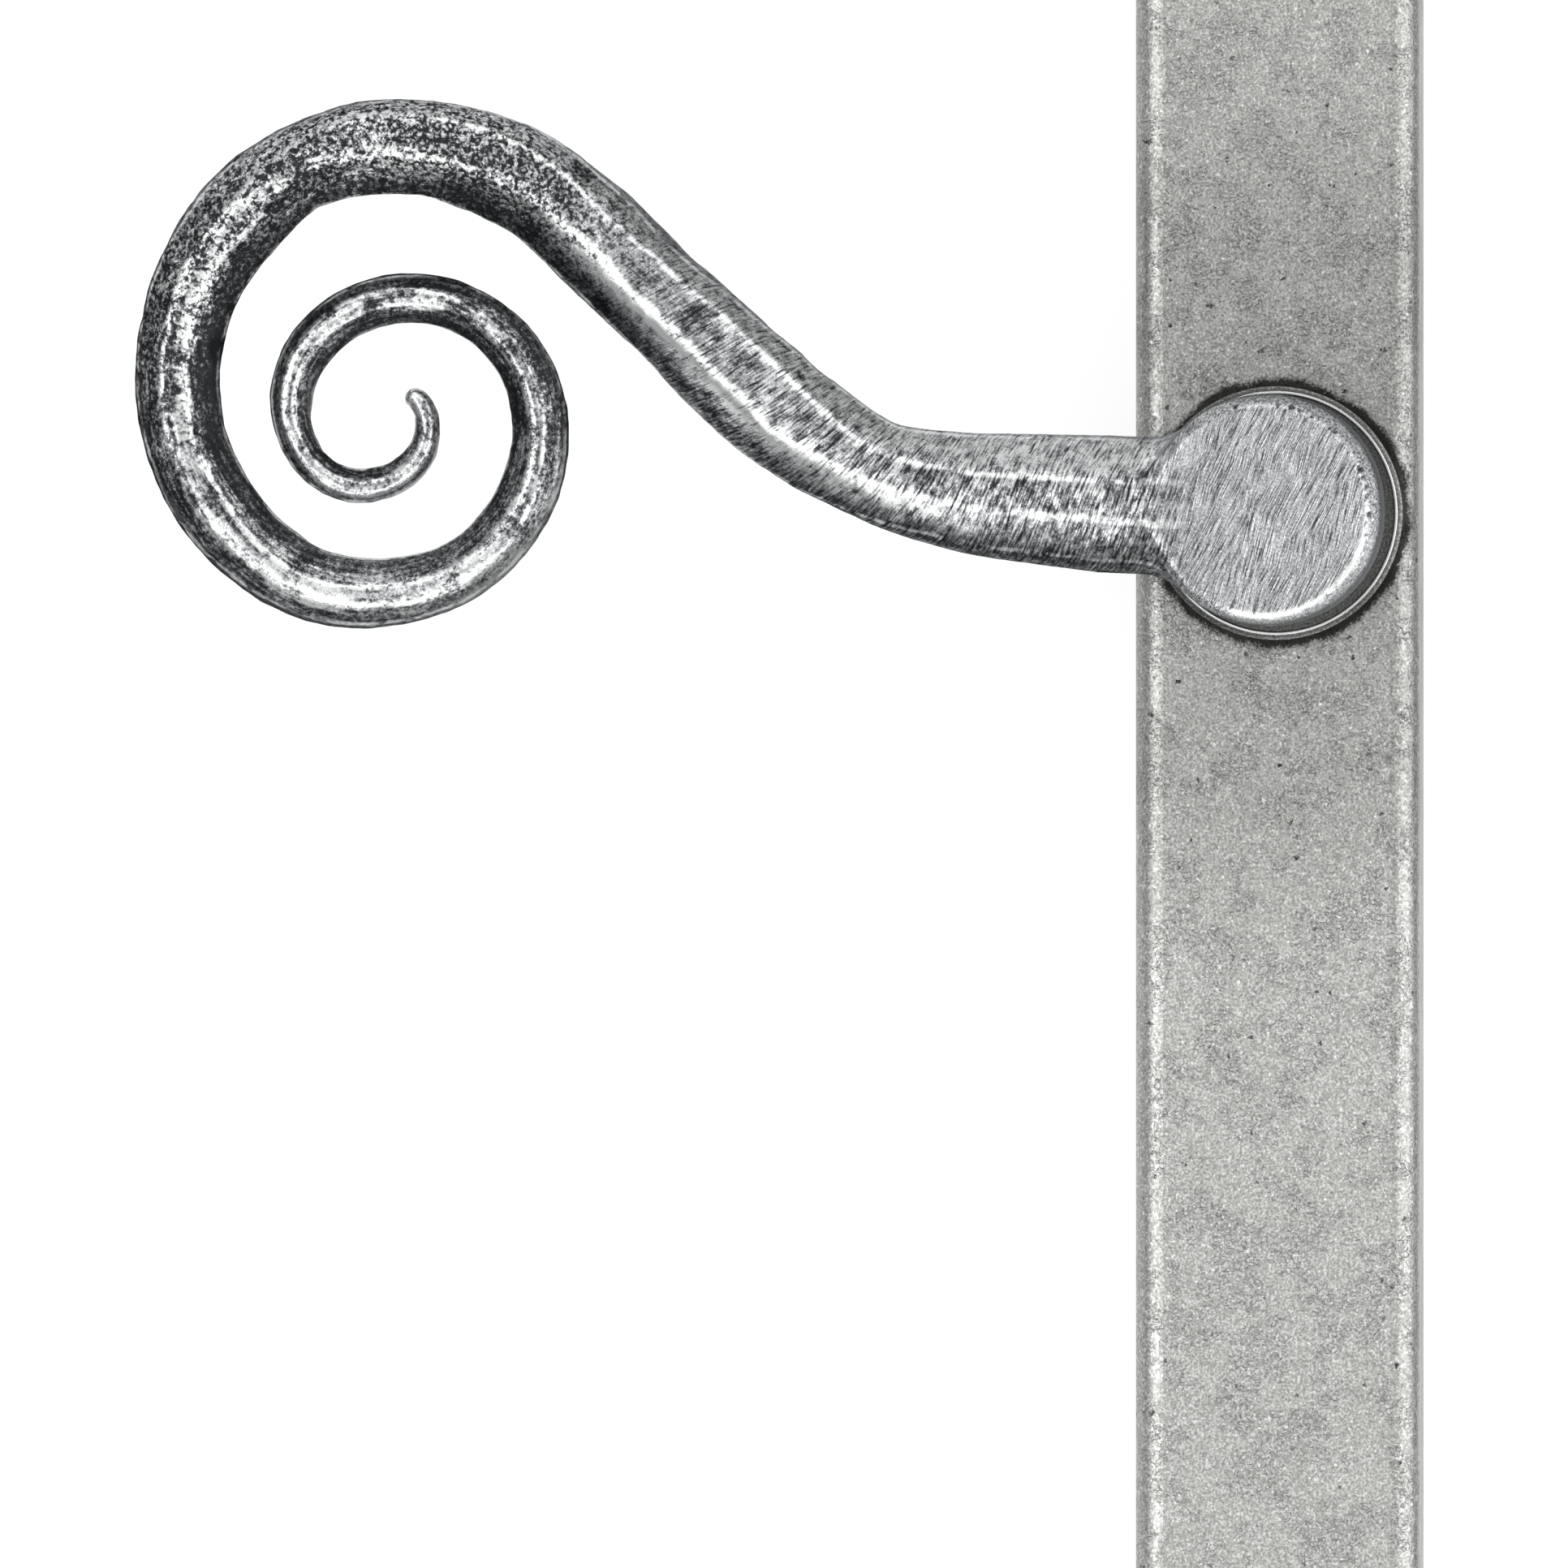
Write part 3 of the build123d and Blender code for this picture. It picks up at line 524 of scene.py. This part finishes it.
def lever_mesh():
    """The whole lever: forging, shank with its clip groove, square socket and grub screw's hole."""
    shank_profile = (
        (SHANK_RADIUS, HEAD_BACK - 1),
        (SHANK_RADIUS, CLIP_FRONT),
        (CLIP_GROOVE, CLIP_FRONT),
        (CLIP_GROOVE, CLIP_BACK),
        (SHANK_RADIUS, CLIP_BACK),
        (SHANK_RADIUS, SHANK_END - 0.1),
        (SHANK_RADIUS - 0.1, SHANK_END),
    )
    mouth = GRUB_RADIUS + GRUB_CHAMFER
    hole_profile = ((mouth, -1), (mouth, 0), (GRUB_RADIUS, GRUB_CHAMFER), (GRUB_RADIUS, 9))
    socket = block("socket", (-SOCKET_HALF, SOCKET_FRONT, -SOCKET_HALF), (SOCKET_HALF, 0, SOCKET_HALF))
    hole = lathe("hole", hole_profile, 40)
    hole.transform(Matrix.Translation((0, GRUB_Y, GRUB_MOUTH)) @ Matrix.Rotation(math.pi / 2, 4, "X"))
    data, forged_points, deep = forging()
    data = cut(data, lathe("shank", shank_profile), "UNION")
    data = cut(data, socket, "DIFFERENCE")
    data = cut(data, hole, "DIFFERENCE")
    lever_marks(data, forged_points, deep)
    return data


def make_lever():
    data = lever_mesh()
    data.transform(Matrix.Scale(MM, 4))
    data.name = "lever_forging"
    data.polygons.foreach_set("use_smooth", [True] * len(data.polygons))
    data.set_sharp_from_angle(angle=math.radians(50))
    lever = bpy.data.objects.new("lever_forging", data)
    bpy.context.scene.collection.objects.link(lever)
    return lever


# ---- materials -----------------------------------------------------------------------------------


def add_node(tree, kind, inputs, **settings):
    """A shader node with its inputs set to numbers or joined to other nodes' outputs."""
    made = tree.nodes.new("ShaderNode" + kind)
    for name, value in settings.items():
        setattr(made, name, value)
    for name, value in inputs.items():
        if isinstance(value, bpy.types.NodeSocket):
            tree.links.new(value, made.inputs[name])
        else:
            made.inputs[name].default_value = value
    return made


class Paint:
    """One material's nodes, with short names for the ones used here."""

    def __init__(self, name, metallic=1.0, **constants):
        self.material = bpy.data.materials.new(name)
        self.material.use_nodes = True
        self.tree = self.material.node_tree
        self.shader = self.tree.nodes["Principled BSDF"]
        self.shader.inputs["Metallic"].default_value = metallic
        for socket, value in constants.items():
            self.shader.inputs[socket.replace("_", " ")].default_value = value
        self.place = self.tree.nodes.new("ShaderNodeTexCoord").outputs["Object"]

    def node(self, kind, inputs, **settings):
        return add_node(self.tree, kind, inputs, **settings)

    def mark(self, name):
        """One of the numbers stored at the mesh's points."""
        return self.node("Attribute", {}, attribute_name=name).outputs["Fac"]

    def stretched(self, vector, scale, degrees=(0, 0, 0)):
        """The place, turned and then scaled by a different amount along each axis."""
        turn = [math.radians(d) for d in degrees]
        turned = self.node("Mapping", {"Vector": vector, "Rotation": turn}).outputs[0]
        return self.node("Mapping", {"Vector": turned, "Scale": scale}).outputs[0]

    def noise(self, size, detail=2.0, rough=0.5, warp=0.0, vector=None):
        """Noise from 0 to 1 whose features are about size millimetres across."""
        inputs = {"Vector": vector or self.place, "Scale": 1 / (size * MM), "Detail": detail}
        inputs.update({"Roughness": rough, "Distortion": warp})
        return self.node("TexNoise", inputs).outputs["Fac"]

    def cells(self, size, feature="F1", vector=None, output="Distance"):
        """A pattern of random cells about size millimetres across."""
        inputs = {"Vector": vector or self.place, "Scale": 1 / (size * MM)}
        return self.node("TexVoronoi", inputs, feature=feature).outputs[output]

    def axes(self):
        """The place's x, y and z."""
        return tuple(self.node("SeparateXYZ", {"Vector": self.place}).outputs)

    def vector(self, x, y=0.0):
        return self.node("CombineXYZ", {"X": x, "Y": y, "Z": 0.0}).outputs[0]

    def math(self, operation, a, b=0.0):
        return self.node("Math", {0: a, 1: b}, operation=operation).outputs[0]

    def add(self, a, b):
        return self.math("ADD", a, b)

    def less(self, a, b):
        return self.math("SUBTRACT", a, b)

    def times(self, a, b):
        return self.math("MULTIPLY", a, b)

    def length(self, a, b):
        return self.math("SQRT", self.add(self.times(a, a), self.times(b, b)))

    def swing(self, value, amount, middle=0.5):
        """A value's distance from its middle, times an amount."""
        return self.times(self.less(value, middle), amount)

    def step(self, value, low, high, to_low=0.0, to_high=1.0):
        """Eases from to_low to to_high as the value goes from low to high."""
        inputs = {"Value": value, "From Min": low, "From Max": high, "To Min": to_low, "To Max": to_high}
        return self.node("MapRange", inputs, interpolation_type="SMOOTHSTEP").outputs["Result"]

    def blend(self, share, a, b):
        """A number between a and b."""
        made = self.tree.nodes.new("ShaderNodeMix")
        for socket, value in zip((made.inputs[0], made.inputs[2], made.inputs[3]), (share, a, b)):
            if isinstance(value, bpy.types.NodeSocket):
                self.tree.links.new(value, socket)
            else:
                socket.default_value = value
        return made.outputs[0]

    def colours(self, value, *stops):
        """A colour looked up from stops of (position, red, green, blue)."""
        made = self.tree.nodes.new("ShaderNodeValToRGB")
        elements = made.color_ramp.elements
        while len(elements) < len(stops):
            elements.new(0.5)
        for element, (position, *colour) in zip(elements, stops):
            element.position = position
            element.color = (*colour, 1.0)
        self.tree.links.new(value, made.inputs["Fac"])
        return made.outputs["Color"]

    def bump(self, height, depth):
        """A bump as deep as depth millimetres where the height goes from 0 to 1."""
        inputs = {"Height": height, "Distance": depth * MM, "Strength": 1.0}
        return self.node("Bump", inputs).outputs["Normal"]

    def finish(self, colour, roughness, normal):
        for socket, value in (("Base Color", colour), ("Roughness", roughness), ("Normal", normal)):
            self.tree.links.new(value, self.shader.inputs[socket])
        return self.material


def pewter_sheet(name, fixed_round=None, tone=1.0):
    """Grey pewter patina on tumbled sheet steel: fine grain, soft clouds, curled scratches, small dings, a
    painted shadow round what is fixed to it, and darker near it and towards the top."""
    p = Paint(name)
    grain = p.noise(0.26, detail=2, rough=0.7)
    flecks = p.noise(0.6, detail=3, rough=0.65, warp=0.8)
    clouds = p.noise(7, detail=5, rough=0.62)
    scuffed = p.step(p.noise(3.2, detail=2), 0.44, 0.62)
    level = p.noise(0.9, detail=2, rough=0.5, warp=1.5)

    def line_at(height):
        away = p.math("ABSOLUTE", p.less(level, height))
        return p.times(p.step(away, 0.004, 0.022, 1.0, 0.0), scuffed)

    curl = p.less(line_at(0.515), line_at(0.482))
    x, y, z = p.axes()
    spots = {"Vector": p.vector(p.add(x, p.times(y, 0.8)), z), "Scale": 1 / (6.5 * MM)}
    ding = p.node("TexVoronoi", spots, voronoi_dimensions="2D").outputs["Distance"]
    ding = p.step(p.add(ding, p.swing(flecks, 0.22)), 0.005, 0.035, 1.0, 0.0)
    specks = p.times(p.step(p.noise(0.5, detail=1), 0.64, 0.74), 0.55)
    value = p.add(p.times(grain, 2.6), p.add(p.times(flecks, 1.1), p.times(clouds, 0.45)))
    value = p.add(value, p.less(specks, p.add(p.times(ding, 0.8), p.times(curl, 0.35))))
    value = p.less(value, 0.14)
    if fixed_round:
        radius = p.length(x, z)
        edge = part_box(fixed_round)[1].x
        # a painted shadow: a dark ring with a ragged edge just outside the fixed part, where it meets the
        # sheet
        ragged = p.less(radius, p.swing(p.noise(2.6, detail=1), 1.2 * MM))
        painted_collar_shadow = p.step(ragged, edge, edge + 1.2 * MM, 1.0, 0.0)
        # darker within about 14 mm of the fixed part, fading out by 34 mm, and darker towards the top
        near_collar = p.step(radius, edge + 14 * MM, edge + 34 * MM, 1.0, 0.0)
        above = p.step(z, 2 * MM, 22 * MM)
        shade = p.add(p.times(near_collar, 0.22), p.times(above, 0.13))
        value = p.less(value, p.add(p.times(painted_collar_shadow, 1.7), shade))
    dark = [tone * c for c in (0.03, 0.03, 0.028)]
    middle = [tone * c for c in (0.40, 0.405, 0.387)]
    light = [tone * c for c in (0.86, 0.865, 0.845)]
    colour = p.colours(p.times(value, 0.25), (0.17, *dark), (0.485, *middle), (0.70, *light))
    roughness = p.step(clouds, 0.35, 0.65, 0.42, 0.34)
    height = p.add(p.times(grain, 0.5), p.less(p.times(flecks, 0.5), p.add(ding, curl)))
    return p.finish(colour, roughness, p.bump(height, 0.06))


def forged_pewter():
    """The lever: dark pitted patina, worn bright on its front, ridges partly worn and partly painted
    highlight, painted highlight and shade along the bar, and a linished head.
    """
    p = Paint("forged_pewter", Specular_Tint=(0.25, 0.25, 0.26, 1))
    along, around = p.mark("along"), p.mark("around")
    forged, head, pitted, facing = p.mark("forged"), p.mark("head"), p.mark("pitted"), p.mark("facing")
    grain = p.noise(0.22, detail=2, rough=0.6)
    pebbles = p.noise(0.5, detail=3, rough=0.65)
    patches = p.noise(3.6, detail=3, rough=0.6)
    # bright lines along the ridges between the flats: partly worn edges, partly painted highlight
    ridge = p.step(p.add(p.mark("gap"), p.swing(grain, 0.5)), 0.08, 0.34, 1.0, 0.0)
    ridge = p.times(ridge, p.step(p.noise(2.2, detail=2), 0.38, 0.52, 0.2, 1.0))
    # the scroll: crackled islands of bright metal in the patina, and streaks along the bar
    streaks = p.noise(0.6, detail=3, rough=0.6, vector=p.vector(p.times(along, 0.09), around))
    swirl = p.node("TexNoise", {"Vector": p.place, "Scale": 900.0, "Detail": 2.0}).outputs["Color"]
    swirl = p.node("VectorMath", {0: swirl, 1: (0.0007,) * 3}, operation="MULTIPLY").outputs[0]
    warped = p.node("VectorMath", {0: p.place, 1: swirl}, operation="ADD").outputs[0]
    cracks = p.step(p.cells(0.55, feature="DISTANCE_TO_EDGE", vector=warped), 0.0, 0.2)
    islands = p.step(p.noise(0.5, detail=3, rough=0.6, warp=0.6), 0.43, 0.53)
    pits = p.step(p.noise(0.42, detail=1), 0.33, 0.40, 1.0, 0.0)
    worn = p.add(p.swing(pebbles, 2.0), p.swing(grain, 1.5))
    crackle = p.add(p.swing(cracks, 0.3, 0.8), p.swing(islands, 0.42, 0.55))
    worn = p.add(worn, p.times(pitted, crackle))
    worn = p.less(worn, p.times(pits, p.blend(pitted, 0.15, 0.5)))
    drawn = p.times(p.blend(pitted, 1.9, 0.5), p.swing(streaks, 1.0))
    worn = p.add(worn, p.add(p.swing(patches, 1.1), drawn))
    worn = p.times(worn, p.add(p.times(facing, 0.6), 0.4))
    worn = p.add(worn, p.add(p.times(facing, 0.10), p.times(ridge, 0.5)))
    worn = p.add(worn, 0.31)
    # the neck: grinding marks across it
    across = p.vector(p.less(along, p.times(around, 0.28)), p.times(around, 0.12))
    strokes = p.noise(0.24, detail=3, rough=0.6, vector=across)
    cuts = p.step(p.noise(0.3, detail=1, vector=across), 0.36, 0.46, 1.0, 0.0)
    smears = p.noise(1.3, detail=3, rough=0.65)
    neck = p.add(p.swing(strokes, 2.1), p.add(p.swing(grain, 1.0), p.swing(smears, 1.5)))
    neck = p.less(neck, p.times(cuts, 0.36))
    neck = p.times(neck, p.add(p.times(facing, 0.45), 0.6))
    neck = p.add(p.add(neck, p.add(p.times(facing, 0.12), 0.38)), p.times(ridge, 0.35))
    # the head: fine lines slanting over its face, steeper in places, and a bright line at the bevel's inner
    # edge, partly worn edge and partly painted highlight; rim and bevel carry a painted highlight low down,
    # where the light from below falls
    slanting, steep = (p.stretched(p.place, (1, 1, 0.04), (0, lean, 0)) for lean in (-27, -14))
    steeper = p.step(p.noise(6), 0.48, 0.56)
    lines = [p.noise(0.095, detail=1, vector=leaning) for leaning in (slanting, steep)]
    lines = p.blend(steeper, *lines)
    scores = p.step(lines, 0.34, 0.46, 1.0, 0.0)
    face = p.add(p.swing(lines, 1.0), p.swing(grain, 1.0))
    face = p.less(p.add(face, 0.56), p.times(scores, 0.19))
    # painted highlight: the bevel and the line at its inner edge are brighter low down, where the light from
    # below falls
    low = p.mark("low")
    bevel = p.add(p.add(p.swing(grain, 1.2), 0.45), p.times(low, 0.14))
    face = p.blend(p.mark("bevel"), face, bevel)
    face = p.add(face, p.times(p.mark("rim"), p.add(p.times(low, 0.45), 0.22)))
    value = p.blend(forged, neck, worn)
    # brighter and darker stretches of the bar: partly wear and patina, partly painted highlight and shade
    value = p.blend(head, p.add(value, p.mark("wear_and_painted_light")), face)
    # the inner side darkened: partly patina, partly painted shade
    value = p.less(value, p.times(p.mark("inner"), p.blend(forged, 0.22, 0.32)))
    value = p.less(value, p.times(p.mark("hollow"), p.blend(head, 0.34, 0.65)))
    black, dark = (0.0, 0.025, 0.027, 0.028), (0.3, 0.11, 0.115, 0.117)
    middle, light = (0.6, 0.38, 0.39, 0.395), (0.95, 0.82, 0.83, 0.835)
    colour = p.colours(value, black, dark, middle, light)
    roughness = p.add(p.step(value, 0.0, 1.0, 0.46, 0.25), p.step(facing, 0.0, 0.5, 0.14, 0.0))
    height = p.blend(forged, strokes, p.add(p.times(pebbles, 0.8), p.times(grain, 0.3)))
    height = p.blend(head, height, p.times(lines, 0.7))
    return p.finish(colour, roughness, p.bump(height, 0.07))


def turned_pewter():
    """The collar: dark pewter patina with fine lathe rings, its darkness partly a painted shade under the
    lever's head, and painted highlights on the crest of its rim and at its outer edge.
    """
    p = Paint("turned_pewter")
    x, _, z = p.axes()
    radius = p.length(x, z)
    rings = p.noise(0.12, detail=2, vector=p.vector(radius))
    grain = p.noise(0.22, detail=3, rough=0.6)
    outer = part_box("collar")[1].x
    # painted highlights: a thin bright ring on the crest of the rim, and a fainter one at the outer edge
    lip = p.step(radius, outer - 0.84 * MM, outer - 0.76 * MM)
    lip = p.times(lip, p.step(radius, outer - 0.54 * MM, outer - 0.46 * MM, 1.0, 0.0))
    edge = p.step(radius, outer - 0.35 * MM, outer - 0.1 * MM)
    value = p.add(p.times(grain, 0.8), p.add(p.times(lip, 0.95), p.times(edge, 0.1)))
    value = p.add(p.less(value, 0.04), p.swing(rings, 0.3))
    # the dark tone is partly patina, partly a painted shade under the lever's head
    colour = p.colours(value, (0.2, 0.04, 0.04, 0.038), (0.45, 0.15, 0.15, 0.146), (0.95, 0.80, 0.81, 0.81))
    roughness = p.step(p.add(lip, edge), 0, 1, 0.45, 0.28)
    return p.finish(colour, roughness, p.bump(p.add(p.times(rings, 0.3), p.times(grain, 0.5)), 0.03))


def zinc_plate():
    """Bright zinc plating: a faint blue cast, a soft spangle and rolling lines up the sheet."""
    p = Paint("zinc_plate")
    spangle = p.node("RGBToBW", {"Color": p.cells(2.4, output="Color")}).outputs[0]
    cloud = p.noise(7, detail=3)
    lines = p.noise(0.3, detail=2, vector=p.stretched(p.place, (1, 1, 0.03)))
    value = p.add(p.times(spangle, 0.12), p.add(p.times(cloud, 0.5), p.times(lines, 0.3)))
    colour = p.colours(value, (0.25, 0.40, 0.415, 0.44), (0.5, 0.54, 0.555, 0.575), (0.8, 0.70, 0.71, 0.715))
    return p.finish(colour, p.step(value, 0.2, 0.8, 0.42, 0.26), p.bump(lines, 0.02))


def machined_steel():
    """Cut and ground steel, with fine tool lines and a thin uneven film of oil."""
    p = Paint("machined_steel")
    lines = p.noise(0.18, detail=3, vector=p.stretched(p.place, (1, 1, 0.05), (0, 90, 0)))
    film = p.noise(3, detail=3, rough=0.6)
    value = p.add(p.times(lines, 0.6), p.times(film, 0.4))
    colour = p.colours(value, (0.3, 0.27, 0.265, 0.255), (0.5, 0.47, 0.465, 0.455), (0.75, 0.66, 0.66, 0.65))
    return p.finish(colour, p.step(film, 0.3, 0.7, 0.2, 0.4), p.bump(lines, 0.02))


def drawn_steel():
    """Cold-drawn flat bar: long fine lines up the bar and a few darker streaks."""
    p = Paint("drawn_steel")
    lines = p.noise(0.25, detail=3, rough=0.65, vector=p.stretched(p.place, (1, 1, 0.012)))
    streaks = p.noise(1.6, detail=2, vector=p.stretched(p.place, (1, 1, 0.05)))
    value = p.add(p.times(lines, 0.55), p.times(streaks, 0.45))
    colour = p.colours(value, (0.28, 0.30, 0.30, 0.295), (0.5, 0.52, 0.52, 0.515), (0.75, 0.74, 0.74, 0.735))
    return p.finish(colour, p.step(streaks, 0.3, 0.7, 0.25, 0.4), p.bump(lines, 0.025))


def rivet_steel():
    """Set rivets: dull steel with small hammer pocks."""
    p = Paint("rivet_steel")
    pocks = p.cells(0.7, feature="SMOOTH_F1")
    grain = p.noise(0.25, detail=3)
    value = p.add(p.times(pocks, 0.4), p.times(grain, 0.6))
    colour = p.colours(value, (0.25, 0.28, 0.28, 0.27), (0.65, 0.66, 0.66, 0.65))
    return p.finish(colour, p.step(grain, 0.3, 0.7, 0.28, 0.45), p.bump(pocks, 0.05))


def screw_steel():
    """Small zinc-plated screws, with a faint yellow passivation and turning marks."""
    p = Paint("screw_steel")
    tint = p.noise(1.2, detail=2)
    grain = p.noise(0.15, detail=2)
    value = p.add(p.times(tint, 0.6), p.times(grain, 0.4))
    colour = p.colours(value, (0.3, 0.50, 0.49, 0.44), (0.6, 0.72, 0.72, 0.70))
    return p.finish(colour, p.step(grain, 0.3, 0.7, 0.22, 0.36), p.bump(grain, 0.015))


def black_steel():
    """Phosphated spring steel: matt grey-black with a fine crystal grain."""
    p = Paint("black_steel", metallic=0.7)
    crystal = p.cells(0.12)
    grain = p.noise(0.8, detail=3)
    value = p.add(p.times(crystal, 0.5), p.times(grain, 0.5))
    colour = p.colours(value, (0.2, 0.02, 0.02, 0.022), (0.7, 0.085, 0.085, 0.09))
    return p.finish(colour, p.step(value, 0.2, 0.8, 0.6, 0.42), p.bump(crystal, 0.02))


def cast_zinc():
    """Die-cast zinc: dull skin with flow marks and a fine orange-peel grain."""
    p = Paint("cast_zinc")
    flow = p.noise(4, detail=3, rough=0.6, warp=0.8)
    peel = p.noise(0.35, detail=2)
    value = p.add(p.times(flow, 0.7), p.times(peel, 0.3))
    colour = p.colours(value, (0.3, 0.33, 0.335, 0.34), (0.55, 0.47, 0.475, 0.48), (0.75, 0.58, 0.585, 0.59))
    return p.finish(colour, p.step(value, 0.3, 0.7, 0.55, 0.4), p.bump(peel, 0.04))


def turned_brass():
    """Turned brass sleeves: rings round the bore and a little brown tarnish."""
    p = Paint("turned_brass")
    rings = p.noise(0.2, detail=2, vector=p.stretched(p.place, (0.02, 1, 0.02)))
    tarnish = p.noise(1.8, detail=3, rough=0.6)
    value = p.add(p.times(rings, 0.4), p.times(tarnish, 0.6))
    colour = p.colours(value, (0.3, 0.36, 0.22, 0.07), (0.5, 0.70, 0.50, 0.19), (0.75, 0.87, 0.69, 0.33))
    return p.finish(colour, p.step(tarnish, 0.3, 0.7, 0.2, 0.38), p.bump(rings, 0.02))


def moulded_nylon():
    """Natural nylon: warm white, faintly cloudy, with a soft moulded grain."""
    p = Paint("moulded_nylon", metallic=0.0, Subsurface_Weight=0.15)
    p.shader.inputs["Subsurface Radius"].default_value = (0.002, 0.0016, 0.0012)
    cloud = p.noise(5, detail=2)
    grain = p.noise(0.3, detail=2)
    colour = p.colours(cloud, (0.3, 0.66, 0.64, 0.57), (0.7, 0.80, 0.78, 0.71))
    return p.finish(colour, p.step(grain, 0.3, 0.7, 0.42, 0.55), p.bump(grain, 0.02))


# ---- the room ------------------------------------------------------------------------------------

PICTURE_WIDTH = 0.1546  # what the picture spans, at the object
PICTURE_CENTRE = (-0.0485, -0.0267)  # x and z of its middle, at the collar's depth
VIEW_ANGLE = math.radians(2.85)  # how far round to the right the camera stands
LENS = 1000.0
SENSOR = 36.0
TENT = 0.36  # how bright the tent is where no light shines on it
# The lights on the tent, as seen from the camera with -Y towards it: direction, full within this many degrees
# of it, none beyond this many, strength.
LIGHTS = (
    ((0.35, -0.937, 0), 50, 86, 0.5),
    ((0, -1, 0), 3, 15, -0.3),
    ((-0.6, -0.8, 0), 15, 27, 2.1),
    ((0.883, -0.469, 0), 22, 42, 1.25),
    ((0, -0.62, -0.78), 20, 38, 1.0),
    ((0, -0.64, 0.77), 14, 32, 0.45),
    ((0, 0, 1), 30, 66, 0.35),
    ((-0.35, 0.937, 0), 56, 82, 0.6),
)
WALL_SIZE = 8.0


def make_camera():
    """A very long lens, almost straight in front, that takes in the lever and the middle of the cover."""
    data = bpy.data.cameras.new("camera")
    data.lens = LENS
    data.sensor_width = SENSOR
    data.clip_end = 50.0
    camera = bpy.data.objects.new("camera", data)
    middle = Vector((PICTURE_CENTRE[0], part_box("collar")[0].y, PICTURE_CENTRE[1]))
    away = Vector((math.sin(VIEW_ANGLE), -math.cos(VIEW_ANGLE), 0))
    camera.location = middle + away * PICTURE_WIDTH * LENS / SENSOR
    camera.rotation_euler = (math.pi / 2, 0, VIEW_ANGLE)
    bpy.context.scene.collection.objects.link(camera)
    bpy.context.scene.camera = camera


def make_room():
    """A white light tent as the world, with a dark gap at the lens. The camera itself sees plain white."""
    world = bpy.data.worlds.new("tent")
    bpy.context.scene.world = world
    world.use_nodes = True
    tree = world.node_tree
    tree.nodes.clear()
    direction = add_node(tree, "TexCoord", {}).outputs["Generated"]
    turn = Matrix.Rotation(VIEW_ANGLE, 3, "Z")
    total = TENT
    for towards, inner, outer, strength in LIGHTS:
        dot = {0: direction, 1: turn @ Vector(towards).normalized()}
        facing = add_node(tree, "VectorMath", dot, operation="DOT_PRODUCT").outputs["Value"]
        edges = {"From Min": math.cos(math.radians(outer)), "From Max": math.cos(math.radians(inner))}
        limits = {"Value": facing, **edges, "To Min": 0.0, "To Max": strength}
        light = add_node(tree, "MapRange", limits, interpolation_type="SMOOTHSTEP").outputs["Result"]
        total = add_node(tree, "Math", {0: total, 1: light}, operation="ADD").outputs[0]
    lit = add_node(tree, "Background", {"Color": (1, 1, 1, 1), "Strength": total}).outputs[0]
    plain = add_node(tree, "Background", {"Color": (1, 1, 1, 1), "Strength": 1.0}).outputs[0]
    seen = add_node(tree, "LightPath", {}).outputs["Is Camera Ray"]
    mixed = add_node(tree, "MixShader", {0: seen, 1: lit, 2: plain}).outputs[0]
    add_node(tree, "OutputWorld", {"Surface": mixed})


def make_backdrop():
    """The white surface behind the object. It is only there for the camera, and only from the front."""
    half = WALL_SIZE / 2
    data = bpy.data.meshes.new("backdrop")
    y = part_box("back_plate")[1].y + 0.2 * MM
    corners = [(-half, y, -half), (half, y, -half), (half, y, half), (-half, y, half)]
    data.from_pydata(corners, [], [(0, 1, 2, 3)])
    backdrop = bpy.data.objects.new("backdrop", data)
    bpy.context.scene.collection.objects.link(backdrop)
    material = bpy.data.materials.new("white_table")
    material.use_nodes = True
    tree = material.node_tree
    tree.nodes.clear()
    seen = add_node(tree, "LightPath", {}).outputs["Is Camera Ray"]
    behind = add_node(tree, "NewGeometry", {}).outputs["Backfacing"]
    share = add_node(tree, "Math", {0: seen, 1: behind}, operation="SUBTRACT", use_clamp=True).outputs[0]
    clear = add_node(tree, "BsdfTransparent", {}).outputs[0]
    white = add_node(tree, "BsdfDiffuse", {"Color": (0.25, 0.25, 0.25, 1)}).outputs[0]
    glow = add_node(tree, "Emission", {"Color": (0.8, 0.8, 0.8, 1)}).outputs[0]
    lit = add_node(tree, "AddShader", {0: white, 1: glow}).outputs[0]
    mixed = add_node(tree, "MixShader", {0: share, 1: clear, 2: lit}).outputs[0]
    add_node(tree, "OutputMaterial", {"Surface": mixed})
    data.materials.append(material)


# ---- putting it together -------------------------------------------------------------------------

bpy.context.scene.view_settings.view_transform = "Standard"
make_camera()
make_room()
make_backdrop()

lever = make_lever()
lever.data.materials.append(forged_pewter())
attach(lever, "lever")
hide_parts("lever")

MATERIALS = {
    "pewter_cover": pewter_sheet("pewter_cover", fixed_round="collar"),
    "pewter_keep": pewter_sheet("pewter_keep", tone=0.92),
    "pewter_collar": turned_pewter(),
    "plated_steel": zinc_plate(),
    "machined_steel": machined_steel(),
    "drawn_steel": drawn_steel(),
    "rivet_steel": rivet_steel(),
    "screw_steel": screw_steel(),
    "black_steel": black_steel(),
    "cast_zinc": cast_zinc(),
    "brass": turned_brass(),
    "nylon": moulded_nylon(),
}
for row in frame["record"]["subparts"]:
    if row["material_slot"] in MATERIALS:
        mesh = frame["nodes"][row["node"]].data
        mesh.materials.clear()
        mesh.materials.append(MATERIALS[row["material_slot"]])
